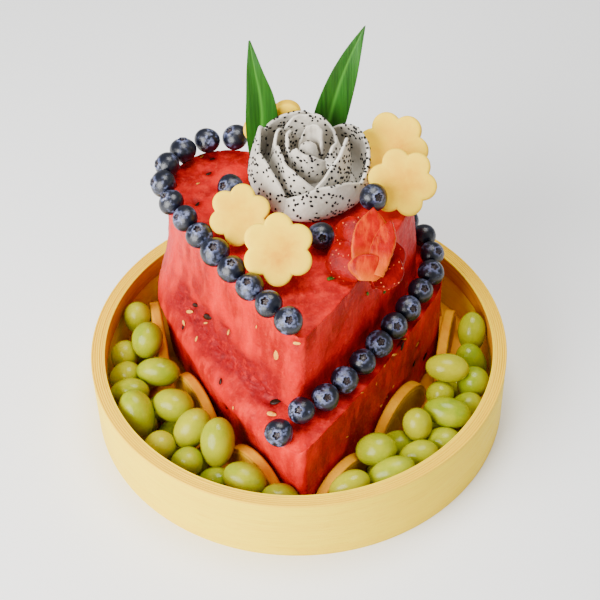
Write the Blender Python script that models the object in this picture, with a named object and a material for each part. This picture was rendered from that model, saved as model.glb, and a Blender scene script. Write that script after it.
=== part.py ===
"""A heart-shaped watermelon cake in a round bamboo dish.

Two stacked hearts of watermelon flesh stand in a shallow bent-bamboo dish.
Orange half slices stand against the lower heart, and green grapes fill the
dish in front of them. Blueberries follow the upper edge on the left and the
ledge on the right. The top carries a rose carved from dragon fruit, a rose cut
from a strawberry, melon slices stamped as flowers and two pandan leaves.

Frame: origin at the centre of the dish's underside, +Z up, heart tip to -Y.
"""

import math
import random

import bmesh
import bpy
from mathutils import Matrix, Quaternion, Vector, noise

MM = 0.001

# ---- driving dimensions, in millimetres -------------------------------------
DISH_RADIUS = 125.0
DISH_WALL = 8.3
DISH_HEIGHT = 46.0
DISH_FLOOR = 5.0
HOOP_EDGE = 31.0
HOOP_STEP = 1.6
DISH_STEPS = 44

GAP = 0.3
LEDGE_TOP = 68.0
CAKE_TOP = 126.0
SHOULDER_DROP = 16.0
FOOT_FLARE = 8.0
FOOT_TUCK = 1.5
BASE_TAPER = 5.0

BERRY_RADIUS = 8.5
BERRY_SPACING = 16.9

SLICE_RADIUS = 31.0
SLICE_THICKNESS = 7.4

GRAPE_RADIUS = 9.2
GRAPE_HALF_LENGTH = 12.4
GRAPE_CORE_TOP = 25.0

MELON_THICKNESS = 7.0

ROSE_CENTRE = (8.5, 46.0)

# ---- scene, collections and materials ---------------------------------------
for old in list(bpy.data.objects):
    bpy.data.objects.remove(old, do_unlink=True)

cake = bpy.data.collections.new("watermelon_cake")
bpy.context.scene.collection.children.link(cake)
helpers = bpy.data.collections.new("helpers")
bpy.context.scene.collection.children.link(helpers)


def material(name, colour, roughness):
    made = bpy.data.materials.new(name)
    made.use_nodes = True
    shader = made.node_tree.nodes["Principled BSDF"]
    shader.inputs["Base Color"].default_value = (*colour, 1.0)
    shader.inputs["Roughness"].default_value = roughness
    return made


bamboo = material("bamboo", (0.86, 0.70, 0.42), 0.45)
melon_flesh = material("watermelon_flesh", (0.78, 0.08, 0.06), 0.35)
berry_skin = material("blueberry_skin", (0.03, 0.045, 0.11), 0.5)
grape_skin = material("grape_skin", (0.50, 0.62, 0.14), 0.25)
orange_peel = material("orange_peel", (0.95, 0.42, 0.03), 0.4)
cantaloupe = material("melon_slice", (0.98, 0.74, 0.34), 0.4)
dragon_flesh = material("dragon_fruit_flesh", (0.72, 0.71, 0.67), 0.45)
strawberry_flesh = material("strawberry_flesh", (0.85, 0.06, 0.03), 0.3)
leaf_green = material("pandan_leaf", (0.06, 0.30, 0.05), 0.4)


# ---- mesh helpers -----------------------------------------------------------
def add_mesh(name, points, faces, surface, collection=cake):
    """An object from points in millimetres and the faces of a closed solid."""
    mesh = bpy.data.meshes.new(name)
    mesh.from_pydata([Vector(p) * MM for p in points], [], faces)
    sorted_out = bmesh.new()
    sorted_out.from_mesh(mesh)
    bmesh.ops.recalc_face_normals(sorted_out, faces=sorted_out.faces)
    sorted_out.to_mesh(mesh)
    sorted_out.free()
    mesh.materials.append(surface)
    made = bpy.data.objects.new(name, mesh)
    collection.objects.link(made)
    return made


def add_helper(name, points, faces, surface):
    made = add_mesh(name, points, faces, surface, helpers)
    made.hide_render = True
    made.display_type = "WIRE"
    return made


def stacked(rings):
    """Points and faces of a solid through rings of equal count, bottom to top."""
    count = len(rings[0])
    points = [p for ring in rings for p in ring]
    faces = [tuple(reversed(range(count)))]
    for level in range(len(rings) - 1):
        low = level * count
        for i in range(count):
            j = (i + 1) % count
            faces.append((low + i, low + j, low + count + j, low + count + i))
    last = (len(rings) - 1) * count
    faces.append(tuple(range(last, last + count)))
    return points, faces


def turned(profile, steps):
    """Points and faces of a round solid; profile runs bottom pole to top pole."""
    points = [(0.0, 0.0, profile[0][1])]
    for radius, height in profile[1:-1]:
        for i in range(steps):
            angle = 2 * math.pi * i / steps
            points.append((radius * math.cos(angle), radius * math.sin(angle), height))
    points.append((0.0, 0.0, profile[-1][1]))
    last = len(points) - 1
    faces = []
    for i in range(steps):
        j = (i + 1) % steps
        faces.append((0, 1 + j, 1 + i))
        for level in range(len(profile) - 3):
            low = 1 + level * steps
            faces.append((low + i, low + j, low + steps + j, low + steps + i))
        top = 1 + (len(profile) - 3) * steps
        faces.append((top + i, top + j, last))
    return points, faces


def shell(front, back):
    """Points and faces of a thin closed skin between two grids of equal size."""
    rows = len(front)
    columns = len(front[0])
    points = [p for row in front for p in row] + [p for row in back for p in row]
    half = rows * columns
    faces = []
    for r in range(rows - 1):
        for c in range(columns - 1):
            a = r * columns + c
            b = a + 1
            d = a + columns
            e = d + 1
            faces.append((a, b, e))
            faces.append((a, e, d))
            faces.append((half + a, half + e, half + b))
            faces.append((half + a, half + d, half + e))
    for c in range(columns - 1):
        low = c
        high = (rows - 1) * columns + c
        faces.append((low + 1, low, half + low, half + low + 1))
        faces.append((high, high + 1, half + high + 1, half + high))
    for r in range(rows - 1):
        left = r * columns
        right = left + columns - 1
        faces.append((left, left + columns, half + left + columns, half + left))
        faces.append((right + columns, right, half + right, half + right + columns))
    return points, faces


def joined(name, pieces, surface):
    """One solid from helper pieces that overlap, by a Boolean union."""
    group = bpy.data.collections.new(name + "_pieces")
    helpers.children.link(group)
    first = pieces[0]
    for piece in pieces[1:]:
        group.objects.link(piece)
        helpers.objects.unlink(piece)
    union = first.modifiers.new("union", "BOOLEAN")
    union.operation = "UNION"
    union.operand_type = "COLLECTION"
    union.collection = group
    union.solver = "MANIFOLD"
    graph = bpy.context.evaluated_depsgraph_get()
    mesh = bpy.data.meshes.new_from_object(first.evaluated_get(graph))
    mesh.name = name
    mesh.materials.clear()
    mesh.materials.append(surface)
    for piece in pieces:
        bpy.data.objects.remove(piece, do_unlink=True)
    bpy.data.collections.remove(group)
    made = bpy.data.objects.new(name, mesh)
    cake.objects.link(made)
    return made


# ---- heart outline ----------------------------------------------------------
def arc(centre, radius, start, end, steps):
    points = []
    for i in range(steps):
        angle = start + (end - start) * i / (steps - 1)
        points.append(Vector((centre[0] + radius * math.cos(angle),
                              centre[1] + radius * math.sin(angle))))
    return points


def side_direction(tip, tip_radius, lobe, lobe_radius, hand):
    """Heading from the tip of the straight side that touches both circles."""
    away = Vector(lobe) - Vector(tip)
    lean = math.asin((lobe_radius - tip_radius) / away.length)
    return math.atan2(away.y, away.x) - hand * lean


def bowed_side(start, end, bow, steps):
    """Points between the ends of a side, bowed to the right of its heading."""
    run = end - start
    outward = Vector((run.y, -run.x)).normalized()
    points = []
    for i in range(1, steps):
        t = i / steps
        points.append(start + run * t + outward * bow * 4 * t * (1 - t))
    return points


def heart(tip, tip_radius, left, left_radius, right, right_radius, cleft_radius,
          left_bow, right_bow):
    """Counterclockwise outline of a heart, from the cleft round the left lobe."""
    near_tip = Vector((tip[0], tip[1] + tip_radius))
    left_heading = side_direction(near_tip, tip_radius, left, left_radius, -1)
    right_heading = side_direction(near_tip, tip_radius, right, right_radius, 1)
    left_out = left_heading + math.pi / 2
    right_out = right_heading - math.pi / 2
    # The cleft is a small circle that touches both lobes from outside.
    across = Vector(right) - Vector(left)
    reach_left = left_radius + cleft_radius
    reach_right = right_radius + cleft_radius
    along = (across.length ** 2 + reach_left ** 2 - reach_right ** 2) / (2 * across.length)
    rise = math.sqrt(reach_left ** 2 - along ** 2)
    unit = across.normalized()
    cleft = Vector(left) + unit * along + Vector((-unit.y, unit.x)) * rise
    to_left = math.atan2(left[1] - cleft.y, left[0] - cleft.x)
    to_right = math.atan2(right[1] - cleft.y, right[0] - cleft.x)
    from_left = to_left + math.pi
    from_right = to_right + math.pi
    outline = arc(left, left_radius, from_left, left_out, 12)
    left_foot = outline[-1]
    tip_points = arc(near_tip, tip_radius, left_out, right_out + 2 * math.pi, 5)
    outline += bowed_side(left_foot, tip_points[0], left_bow, 6)
    outline += tip_points
    right_lobe = arc(right, right_radius, right_out, from_right, 12)
    outline += bowed_side(tip_points[-1], right_lobe[0], right_bow, 6)
    outline += right_lobe
    outline += arc(cleft, cleft_radius, to_right, to_left, 4)[1:-1]
    return outline


def offset(outline, distance):
    """The outline moved outwards along its own normals."""
    count = len(outline)
    moved = []
    for i in range(count):
        run = outline[(i + 1) % count] - outline[i - 1]
        moved.append(outline[i] + Vector((run.y, -run.x)).normalized() * distance)
    return moved


def walk(path, distance):
    """Point and heading at a distance along a chain of points."""
    for start, end in zip(path, path[1:]):
        run = end - start
        if distance <= run.length:
            return start + run.normalized() * distance, run.normalized()
        distance -= run.length
    return path[-1], (path[-1] - path[-2]).normalized()


def leftness(point):
    """1 on the bare sloping left shoulder, 0 on the flat right ledge and behind."""
    beside = max(0.0, min(1.0, (2.0 - point.x) / 26.0))
    before = max(0.0, min(1.0, (84.0 - point.y) / 32.0))
    return beside * before


lower_outline = heart((0.0, -105.0), 5.0, (-37.0, 43.0), 50.0, (38.5, 36.0), 50.5,
                      14.0, 6.0, 3.0)
foot_outline = heart((-1.0, -73.5), 5.0, (-37.0, 46.0), 38.0, (37.0, 38.0), 36.5,
                     10.0, 1.5, 3.5)
top_outline = heart((2.0, -75.0), 5.0, (-40.0, 48.0), 37.0, (34.5, 43.0), 36.0,
                    10.0, 3.0, 3.5)
tip_index = 12 + 5 + 2

# ---- bamboo dish ------------------------------------------------------------
# A bent hoop on a flat base. An inner hoop lines the upper part of the wall.
inner = DISH_RADIUS - DISH_WALL
profile = [
    (0.0, 0.0),
    (DISH_RADIUS - 3.0, 0.0),
    (DISH_RADIUS - 1.2, 0.8),
    (DISH_RADIUS - 0.4, 3.0),
    (DISH_RADIUS, 12.0),
    (DISH_RADIUS, DISH_HEIGHT - 1.8),
    (DISH_RADIUS - 0.5, DISH_HEIGHT - 0.5),
    (DISH_RADIUS - 1.8, DISH_HEIGHT),
    (inner + 1.4, DISH_HEIGHT),
    (inner + 0.3, DISH_HEIGHT - 0.5),
    (inner, DISH_HEIGHT - 1.6),
    (inner, HOOP_EDGE),
    (inner + HOOP_STEP, HOOP_EDGE - 0.6),
    (inner + HOOP_STEP, DISH_FLOOR),
    (0.0, DISH_FLOOR),
]
dish_points, dish_faces = turned(profile, DISH_STEPS)
add_mesh("bamboo_dish", dish_points, dish_faces, bamboo)


# ---- watermelon hearts ------------------------------------------------------
def rough(point, height, amount):
    """Hand-cut unevenness, a little outwards or inwards."""
    return amount * noise.noise(Vector((point.x, point.y, height)) * 0.045)


def outward_at(outline, i):
    run = outline[(i + 1) % len(outline)] - outline[i - 1]
    return Vector((run.y, -run.x)).normalized()


floor_level = DISH_FLOOR + GAP
lower_rings = []
for height, out, taper, amount in ((floor_level, -1.5, 1.0, 0.0),
                                   (floor_level + 2.5, 0.0, 1.0, 0.8),
                                   (26.0, 0.2, 0.85, 1.4),
                                   (40.0, 0.2, 0.5, 1.4)):
    ring = []
    for i, p in enumerate(lower_outline):
        reach = out - BASE_TAPER * taper * leftness(p) + rough(p, height, amount)
        moved = p + outward_at(lower_outline, i) * reach
        ring.append((moved.x, moved.y, height))
    lower_rings.append(ring)
# The ledge runs in to the foot of the upper heart, which on the left is flared, so
# that the two walls are one slope there.
flared_foot = [p + outward_at(foot_outline, i) * FOOT_FLARE * leftness(p)
               for i, p in enumerate(foot_outline)]
for share, drop, shoulder in ((0.0, 3.0, 1.0), (0.1, 1.0, 0.76), (0.3, 0.3, 0.54),
                              (0.7, 0.0, 0.26)):
    ring = []
    for p, foot in zip(lower_outline, flared_foot):
        moved = p.lerp(foot, share)
        slope = SHOULDER_DROP * leftness(p)
        ring.append((moved.x, moved.y, LEDGE_TOP - drop - slope * shoulder))
    lower_rings.append(ring)
ring = []
for i, p in enumerate(flared_foot):
    tucked = p - outward_at(foot_outline, i) * FOOT_TUCK * (1 - leftness(foot_outline[i]))
    ring.append((tucked.x, tucked.y, LEDGE_TOP))
lower_rings.append(ring)
lower_points, lower_faces = stacked(lower_rings)
add_mesh("watermelon_lower", lower_points, lower_faces, melon_flesh)

upper_rings = []
for height, out, spread, amount in (
    (LEDGE_TOP + GAP, 0.0, FOOT_FLARE, 0.0),
    (LEDGE_TOP + 3.5, 0.0, 0.86 * FOOT_FLARE, 0.4),
    (LEDGE_TOP + 11.0, 0.0, 0.56 * FOOT_FLARE, 1.2),
    (92.0, 0.2, 0.2 * FOOT_FLARE, 1.6),
    (110.0, 0.2, 0.0, 1.6),
    (CAKE_TOP - 1.6, 0.0, 0.0, 0.6),
    (CAKE_TOP, -1.3, 0.0, 0.0),
):
    t = (height - LEDGE_TOP) / (CAKE_TOP - LEDGE_TOP)
    mixed = [a * (1 - t) + b * t for a, b in zip(foot_outline, top_outline)]
    ring = []
    for i, p in enumerate(mixed):
        flare = out + spread * leftness(p) + rough(p, height, amount)
        moved = p + outward_at(mixed, i) * flare
        ring.append((moved.x, moved.y, height))
    upper_rings.append(ring)
upper_points, upper_faces = stacked(upper_rings)
add_mesh("watermelon_upper", upper_points, upper_faces, melon_flesh)

# ---- blueberries ------------------------------------------------------------
# A squashed ball with the crown's raised lip and dimple on its upper pole.
berry_profile = [
    (0.0, -0.89),
    (0.60, -0.70),
    (0.98, -0.20),
    (0.94, 0.30),
    (0.60, 0.70),
    (0.36, 0.86),
    (0.22, 0.74),
    (0.0, 0.72),
]
berry_points, berry_faces = turned(berry_profile, 8)
berry_mesh = bpy.data.meshes.new("blueberry")
berry_mesh.from_pydata([Vector(p) * BERRY_RADIUS * MM for p in berry_points], [],
                       berry_faces)
berry_mesh.materials.append(berry_skin)
chance = random.Random(7)


def add_berry(name, x, y, base, crown):
    size = chance.uniform(0.94, 1.0)
    lean = Vector(crown) + Vector((chance.uniform(-0.5, 0.5), chance.uniform(-0.4, 0.4),
                                   chance.uniform(-0.2, 0.2)))
    made = bpy.data.objects.new(name, berry_mesh)
    made.location = Vector((x, y, base + GAP + BERRY_RADIUS * size)) * MM
    made.rotation_mode = "QUATERNION"
    spin = Quaternion((0, 0, 1), chance.uniform(0, 6.28))
    made.rotation_quaternion = Vector((0, 0, 1)).rotation_difference(lean) @ spin
    made.scale = (size, size, size)
    cake.objects.link(made)


# The upper row runs from the tip along the left edge and round the left lobe.
left_half = list(reversed(offset(top_outline, 0.2)[: tip_index + 1]))
for k in range(13):
    spot, heading = walk(left_half, 9.0 + BERRY_SPACING * k)
    add_berry("blueberry_top_%02d" % (k + 1), spot.x, spot.y, CAKE_TOP, (0, -0.5, 0.8))

# The ledge row starts left of the tip and runs round the right side.
right_half = offset(foot_outline, BERRY_RADIUS + 1.1)[tip_index:]
add_berry("blueberry_ledge_01", -12.0, -93.5, LEDGE_TOP - 5.8, (0, -0.6, 0.8))
for k in range(16):
    spot, heading = walk(right_half, 2.0 + BERRY_SPACING * k)
    add_berry("blueberry_ledge_%02d" % (k + 2), spot.x, spot.y, LEDGE_TOP, (0, -0.5, 0.8))

add_berry("blueberry_loose_1", -37.4, 38.8, CAKE_TOP, (0, -0.5, 0.8))
add_berry("blueberry_loose_2", 14.2, -4.3, CAKE_TOP, (0, -0.3, 1.0))
add_berry("blueberry_loose_3", 44.7, 17.6, CAKE_TOP + 7.8, (0.2, 0, 1.0))


# ---- orange half slices -----------------------------------------------------
slice_planes = []
slice_wall = [p - outward_at(lower_outline, i) * 0.55 * BASE_TAPER * leftness(p)
              for i, p in enumerate(lower_outline)]


def add_slice(name, place, radius):
    """A half disc on its cut edge, peel up, flat against the lower heart."""
    start = slice_wall[tip_index:] if place > 0 else slice_wall[tip_index::-1]
    spot, heading = walk(start, abs(place))
    side = 1 if place > 0 else -1
    outward = Vector((heading.y, -heading.x)) * side
    clear = 0.0
    for p in slice_wall:
        if abs((p - spot).dot(heading)) < radius:
            clear = max(clear, (p - spot).dot(outward))
    near = clear + 1.3
    slice_planes.append((spot, heading, outward, near + SLICE_THICKNESS, radius))
    outline = []
    for i in range(13):
        angle = math.pi * i / 12
        outline.append((radius * math.cos(angle), radius * math.sin(angle)))
    rings = []
    for depth, shrink in ((0.0, 0.96), (0.8, 1.0), (SLICE_THICKNESS - 0.8, 1.0),
                          (SLICE_THICKNESS, 0.96)):
        ring = []
        for along, up in outline:
            base = spot + heading * along * shrink + outward * (near + depth)
            ring.append((base.x, base.y, floor_level + up * shrink))
        rings.append(ring)
    points, faces = stacked(rings)
    add_mesh(name, points, faces, orange_peel)


for k, (distance, radius) in enumerate(((34.0, 29.0), (100.0, 29.5),
                                        (162.5, SLICE_RADIUS), (209.0, 14.0))):
    add_slice("orange_slice_left_%d" % (k + 1), -distance, radius)
for k, (distance, radius) in enumerate(((27.0, 28.0), (90.0, 30.0),
                                        (156.0, 29.0), (201.0, 14.0))):
    add_slice("orange_slice_right_%d" % (k + 1), distance, radius)


# ---- grape heaps ------------------------------------------------------------
def polar(angle, radius):
    turn = math.radians(angle)
    return Vector((radius * math.cos(turn), radius * math.sin(turn)))


def slice_room(spot, reach_of):
    """How far the spot must move outwards to clear each orange slice."""
    moves = []
    for origin, heading, outward, face, radius in slice_planes:
        away = spot - origin
        beside = away.dot(outward) > -20.0
        if beside and abs(away.dot(heading)) < radius + reach_of(heading):
            short = face + reach_of(outward) + GAP - away.dot(outward)
            if short > 0:
                moves.append(outward * short)
    return moves


def core_start(angle):
    """Smallest radius on this bearing that is clear of the slices."""
    radius = 112.0
    while radius > 84.0 and not slice_room(polar(angle, radius - 1.0), lambda way: 3.2):
        radius -= 1.0
    return radius


grape_profile = [(0.0, -1.0), (0.74, -0.66), (1.0, 0.0), (0.74, 0.66), (0.0, 1.0)]
grape_points, grape_faces = turned(grape_profile, 8)


def grape_place(spot, heading):
    """The spot nudged clear of the slices and the dish wall, or None without room."""
    def reach_of(way):
        along = abs(heading.x * way.x + heading.y * way.y)
        across = math.sqrt(max(0.0, 1 - along * along))
        return math.hypot(GRAPE_HALF_LENGTH * along, GRAPE_RADIUS * across)

    flat = Vector((spot.x, spot.y))
    for attempt in range(6):
        for move in slice_room(flat, reach_of):
            flat += move
        limit = inner - GAP - reach_of(flat.normalized()) - 0.3
        if flat.length > limit:
            flat = flat.normalized() * limit
    if slice_room(flat, lambda way: reach_of(way) - 0.5):
        return None
    return flat


def add_grape(name, spot, dice):
    """An ellipsoid of few sides; where there is little room it lies along the wall."""
    drawn = Vector((dice.uniform(-1, 1), dice.uniform(-1, 1), dice.uniform(-0.35, 0.35)))
    for heading in (drawn.normalized(), Vector((-spot.y, spot.x, 0.0)).normalized()):
        flat = grape_place(spot, heading)
        if flat is not None:
            turn = Vector((0, 0, 1)).rotation_difference(heading).to_matrix().to_4x4()
            stretch = Matrix.Diagonal((GRAPE_RADIUS, GRAPE_RADIUS, GRAPE_HALF_LENGTH, 1.0))
            place = Matrix.Translation((flat.x, flat.y, spot.z)) @ turn @ stretch
            moved = [place @ Vector(p) for p in grape_points]
            return add_helper(name + "_grape", moved, grape_faces, grape_skin)
    return None


def add_heap(name, start, end, rows, seed):
    """A low core along the wall with the showing grapes fused on."""
    dice = random.Random(seed)
    steps = 12
    rings = []
    for i in range(steps + 1):
        angle = start + (end - start) * i / steps
        near = polar(angle, core_start(angle))
        far = polar(angle, inner - 3.0)
        rings.append([(near.x, near.y, floor_level), (far.x, far.y, floor_level),
                      (far.x, far.y, GRAPE_CORE_TOP), (near.x, near.y, GRAPE_CORE_TOP)])
    points, faces = stacked(rings)
    pieces = [add_helper(name + "_core", points, faces, grape_skin)]
    for count, first, last, radius, height in rows:
        for k in range(count):
            angle = first + (last - first) * k / max(1, count - 1)
            spot = polar(angle + dice.uniform(-1.2, 1.2), radius + dice.uniform(-1.0, 1.0))
            spot = Vector((spot.x, spot.y, height + dice.uniform(-1.5, 1.5)))
            piece = add_grape(name, spot, dice)
            if piece:
                pieces.append(piece)
    return joined(name, pieces, grape_skin)


add_heap("grapes_left", 163.0, 246.0,
         ((8, 161.0, 249.0, 107.0, 30.0), (5, 174.0, 235.0, 92.0, 33.0)), 3)
add_heap("grapes_right", 3.0, -72.0,
         ((8, 6.0, -77.0, 106.0, 29.0), (5, -12.0, -61.0, 93.0, 33.0)), 5)


# ---- melon slices stamped as flowers ----------------------------------------
def add_flower(name, centre, size, facing, spin):
    """A six-lobed slice with softened edges, facing the given way."""
    outline = []
    for i in range(36):
        angle = 2 * math.pi * i / 36
        off_lobe = (angle + math.pi / 6) % (math.pi / 3) - math.pi / 6
        lobe = 0.6 * math.cos(off_lobe)
        lobe += math.sqrt(0.4 ** 2 - (0.6 * math.sin(off_lobe)) ** 2)
        outline.append((lobe * math.cos(angle), lobe * math.sin(angle)))
    rings = []
    half = MELON_THICKNESS / 2
    for depth, reach in ((-half, 0.93), (-half + 1.4, 1.0), (half - 1.4, 1.0), (half, 0.93)):
        rings.append([(x * size * reach, y * size * reach, depth) for x, y in outline])
    points, faces = stacked(rings)
    turn = Vector((0, 0, 1)).rotation_difference(Vector(facing))
    place = (Matrix.Translation(Vector(centre)) @ turn.to_matrix().to_4x4()
             @ Matrix.Rotation(math.radians(spin), 4, "Z"))
    add_mesh(name, [place @ Vector(p) for p in points], faces, cantaloupe)


add_flower("melon_flower_front_left", (-31.0, 6.4, 141.9), 17.7, (0, -0.7, 0.7), 20)
add_flower("melon_flower_front", (-9.7, -26.0, 145.0), 20.2, (0, -0.7, 0.7), 28)
add_flower("melon_flower_right", (61.9, 31.0, 142.0), 20.0, (-0.1, -0.7, 0.7), -16)
add_flower("melon_flower_back_right", (58.4, 61.4, 143.4), 21.0, (-0.2, -0.67, 0.7), 42)
add_flower("melon_flower_back", (-9.0, 76.2, 147.8), 20.5, (0, -1.0, 0.02), 2)


# ---- dragon-fruit rose ------------------------------------------------------
base_level = CAKE_TOP + GAP


def rose_point(turn, radius, height):
    """A point about the rose's axis; its back is flatter than its front."""
    depth = 0.885 - 0.145 * math.sin(turn)
    return Vector((ROSE_CENTRE[0] + radius * math.cos(turn),
                   ROSE_CENTRE[1] + radius * depth * math.sin(turn), base_level + height))


def petal(stations, belly, low, thickness, rows):
    """A cupped slice: narrow foot, wide belly and a rim through the stations.

    Each station is the rim's bearing, radius and height above the cake.
    """
    front = []
    back = []
    for r in range(rows):
        v = r / (rows - 1)
        bulge = 1 - 0.2 * (1 - min(1.0, v / 0.45)) ** 2
        closing = max(0.0, (v - 0.35) / 0.65) ** 1.6
        wall = thickness * (1 - 0.35 * v)
        row_front = []
        row_back = []
        for bearing, rim, high in stations:
            turn = math.radians(bearing)
            radius = belly * bulge * (1 - closing) + rim * closing
            height = low + (high - low) * v
            row_front.append(rose_point(turn, radius, height))
            row_back.append(rose_point(turn, radius - wall, height))
        front.append(row_front)
        back.append(row_back)
    points, faces = shell(front, back)
    return add_helper("rose_petal", points, faces, dragon_flesh)


rose_core = [(0.0, 0.0), (25.0, 0.0), (28.0, 3.0), (20.0, 8.0), (9.0, 18.0), (4.6, 32.0),
             (0.0, 35.0)]
core_points, core_faces = turned(rose_core, 12)
core_points = [rose_point(math.atan2(y, x), math.hypot(x, y), z) for x, y, z in core_points]
rose_pieces = [add_helper("rose_core", core_points, core_faces, dragon_flesh)]

back_petal = ((152, 32.0, 31), (131, 32.5, 36), (108, 32.5, 39), (90, 32.5, 38),
              (76, 32.5, 33), (60, 32.0, 25))
right_petal = ((66, 31.5, 27), (50, 33.0, 32), (32, 34.5, 33), (14, 35.5, 29), (-2, 35.8, 24),
               (-17, 35.0, 19), (-34, 33.0, 14))
front_petal = ((-124, 31.0, 13), (-107, 31.5, 19), (-90, 31.5, 23.5), (-71, 31.5, 26),
               (-50, 32.0, 23), (-33, 33.5, 18), (-20, 35.0, 12))
left_petal = ((141, 31.5, 30), (155, 31.0, 39), (170, 30.5, 36), (187, 30.0, 34),
              (206, 30.0, 32.5), (222, 30.0, 29), (234, 30.5, 23), (247, 31.5, 14))
middle_left = ((170, 18.5, 26), (182, 18.5, 33), (205, 19.0, 33), (222, 20.0, 31),
               (243, 21.0, 28.5), (262, 22.0, 24), (284, 23.0, 17))
middle_right = ((14, 22.5, 30), (0, 22.8, 37), (-22, 21.5, 33.5), (-47, 21.5, 30),
                (-67, 22.0, 25), (-90, 23.0, 16))
middle_back = ((130, 23.0, 33), (111, 24.0, 40), (92, 24.0, 41.5), (70, 24.0, 40.5),
               (50, 22.5, 35), (25, 19.0, 33), (0, 16.5, 33), (-20, 14.5, 32), (-42, 12.8, 26))
middle_side = ((120, 20.8, 29), (136, 21.0, 36), (147, 21.0, 38), (163, 20.8, 35),
               (188, 20.0, 26))
inner_left = ((115, 13.0, 31), (135, 13.0, 37), (152, 13.0, 40), (175, 13.0, 38),
              (198, 13.0, 33), (222, 12.3, 28))
inner_front = ((206, 12.0, 31), (222, 11.0, 35.5), (246, 10.5, 33.5), (274, 10.2, 33),
               (300, 11.5, 30), (334, 13.5, 25))
inner_back = ((138, 9.0, 27), (114, 9.0, 36), (92, 9.0, 41.5), (62, 9.0, 43), (30, 9.0, 41),
              (-12, 8.0, 32))
for stations, belly, low, thickness, rows in (
    (back_petal, 35.5, 0.4, 3.6, 5), (right_petal, 35.8, 0.4, 3.6, 5),
    (front_petal, 35.8, 0.4, 3.8, 5), (left_petal, 35.6, 0.4, 3.8, 5),
    (middle_left, 24.0, 3.0, 3.4, 4), (middle_right, 24.5, 3.0, 3.4, 4),
    (middle_back, 22.5, 3.0, 3.2, 4), (middle_side, 23.5, 3.0, 2.8, 4),
    (inner_left, 14.5, 7.0, 2.8, 4), (inner_front, 13.0, 8.0, 2.8, 4),
    (inner_back, 9.6, 8.0, 2.6, 4),
):
    rose_pieces.append(petal(stations, belly, low, thickness, rows))
joined("dragon_fruit_rose", rose_pieces, dragon_flesh)


# ---- strawberry rose --------------------------------------------------------
# The cut berry leans back on its base, so its petals fan out towards the front.
straw_base = Vector((38.0, -19.0, base_level))
straw_front = Vector((38.3, -38.5, base_level + 2.8))


def fan(across, up, lift):
    """A point of the fan: across, up its leaning face, then lifted off that face."""
    lean = math.sqrt(0.5)
    return straw_front + Vector((across, lean * (up - lift), lean * (up + lift)))


def slab(start, end, facing, widths, thickness, hollow):
    """A strawberry petal: a thick slice along its spine, hollowed on its face."""
    front = []
    back = []
    facing = Vector(facing).normalized()
    along = (end - start).normalized()
    side = along.cross(facing).normalized()
    facing = side.cross(along)
    for r in range(5):
        v = r / 4
        spine = start + (end - start) * v
        half = widths[r]
        row_front = []
        row_back = []
        for c in range(4):
            u = c / 1.5 - 1
            spot = spine + side * half * u + facing * hollow * u * u * math.sin(math.pi * v)
            wall = facing * thickness * 0.5 * (1 - 0.4 * v)
            row_front.append(spot + wall)
            row_back.append(spot - wall)
        front.append(row_front)
        back.append(row_back)
    points, faces = shell(front, back)
    return add_helper("strawberry_petal", points, faces, strawberry_flesh)


straw_core = [(0.0, 0.0), (10.0, 0.0), (13.5, 5.0), (11.5, 13.0), (6.0, 21.0), (0.0, 25.0)]
core_points, core_faces = turned(straw_core, 10)
core_points = [Vector(p) + straw_base for p in core_points]
straw_pieces = [add_helper("strawberry_core", core_points, core_faces, strawberry_flesh)]
towards = (0.0, -0.7, 0.7)
straw_petals = (
    (fan(1, 4, 0), fan(4.5, 42.0, 1), towards, (7, 10, 10.5, 8.5, 1), 6.0, 1.5),
    (fan(4, 5, 3), fan(14, 34.5, 3), (-0.3, -0.7, 0.6), (5, 6, 6.5, 5.5, 1), 5.0, 1.0),
    (fan(-3, 6, -2), fan(-9.5, 37.5, -5), (-0.5, -0.6, 0.6), (7, 10, 11.5, 11, 6), 6.0, -2.0),
    (fan(5, 6, -3), fan(19.0, 21.5, -5), (0.4, -0.6, 0.7), (6, 9, 10, 9, 5), 6.0, -2.0),
    (fan(0, 2, 3), fan(1, 16.5, 4.5), towards, (5, 9, 11, 9, 5), 5.0, -1.0),
    (fan(1, 4, 1), fan(19.5, 11.5, -4), (0.3, -0.6, 0.7), (7, 10, 11, 10, 6), 6.0, -2.0),
    (fan(-2, 7, 2), fan(-20.5, 18.5, -6), (-0.4, -0.6, 0.7), (7, 9.5, 11, 10.5, 6), 5.0, -2.0),
)
for start, end, facing, widths, thickness, hollow in straw_petals:
    straw_pieces.append(slab(start, end, facing, widths, thickness, hollow))
joined("strawberry_rose", straw_pieces, strawberry_flesh)


# ---- pandan leaves ----------------------------------------------------------
def add_leaf(name, stations, fold):
    """A blade folded along its middle; each station is x, y, z and half width."""
    front = []
    back = []
    rows = 10
    for r in range(rows + 1):
        s = (len(stations) - 1) * r / rows
        i = min(len(stations) - 2, int(s))
        t = s - i
        x, y, z, half = [a * (1 - t) + b * t for a, b in zip(stations[i], stations[i + 1])]
        row_front = []
        row_back = []
        for u in (-1.0, -0.5, 0.0, 0.5, 1.0):
            wave = 0.5 * math.sin(0.13 * z + 2.0 * u)
            depth = fold * half * abs(u) + wave * abs(u)
            spot = Vector((x + half * u, y - depth, z))
            row_front.append(spot)
            row_back.append(spot + Vector((0, 0.9, 0)))
        front.append(row_front)
        back.append(row_back)
    points, faces = shell(front, back)
    add_mesh(name, points, faces, leaf_green)


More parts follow.
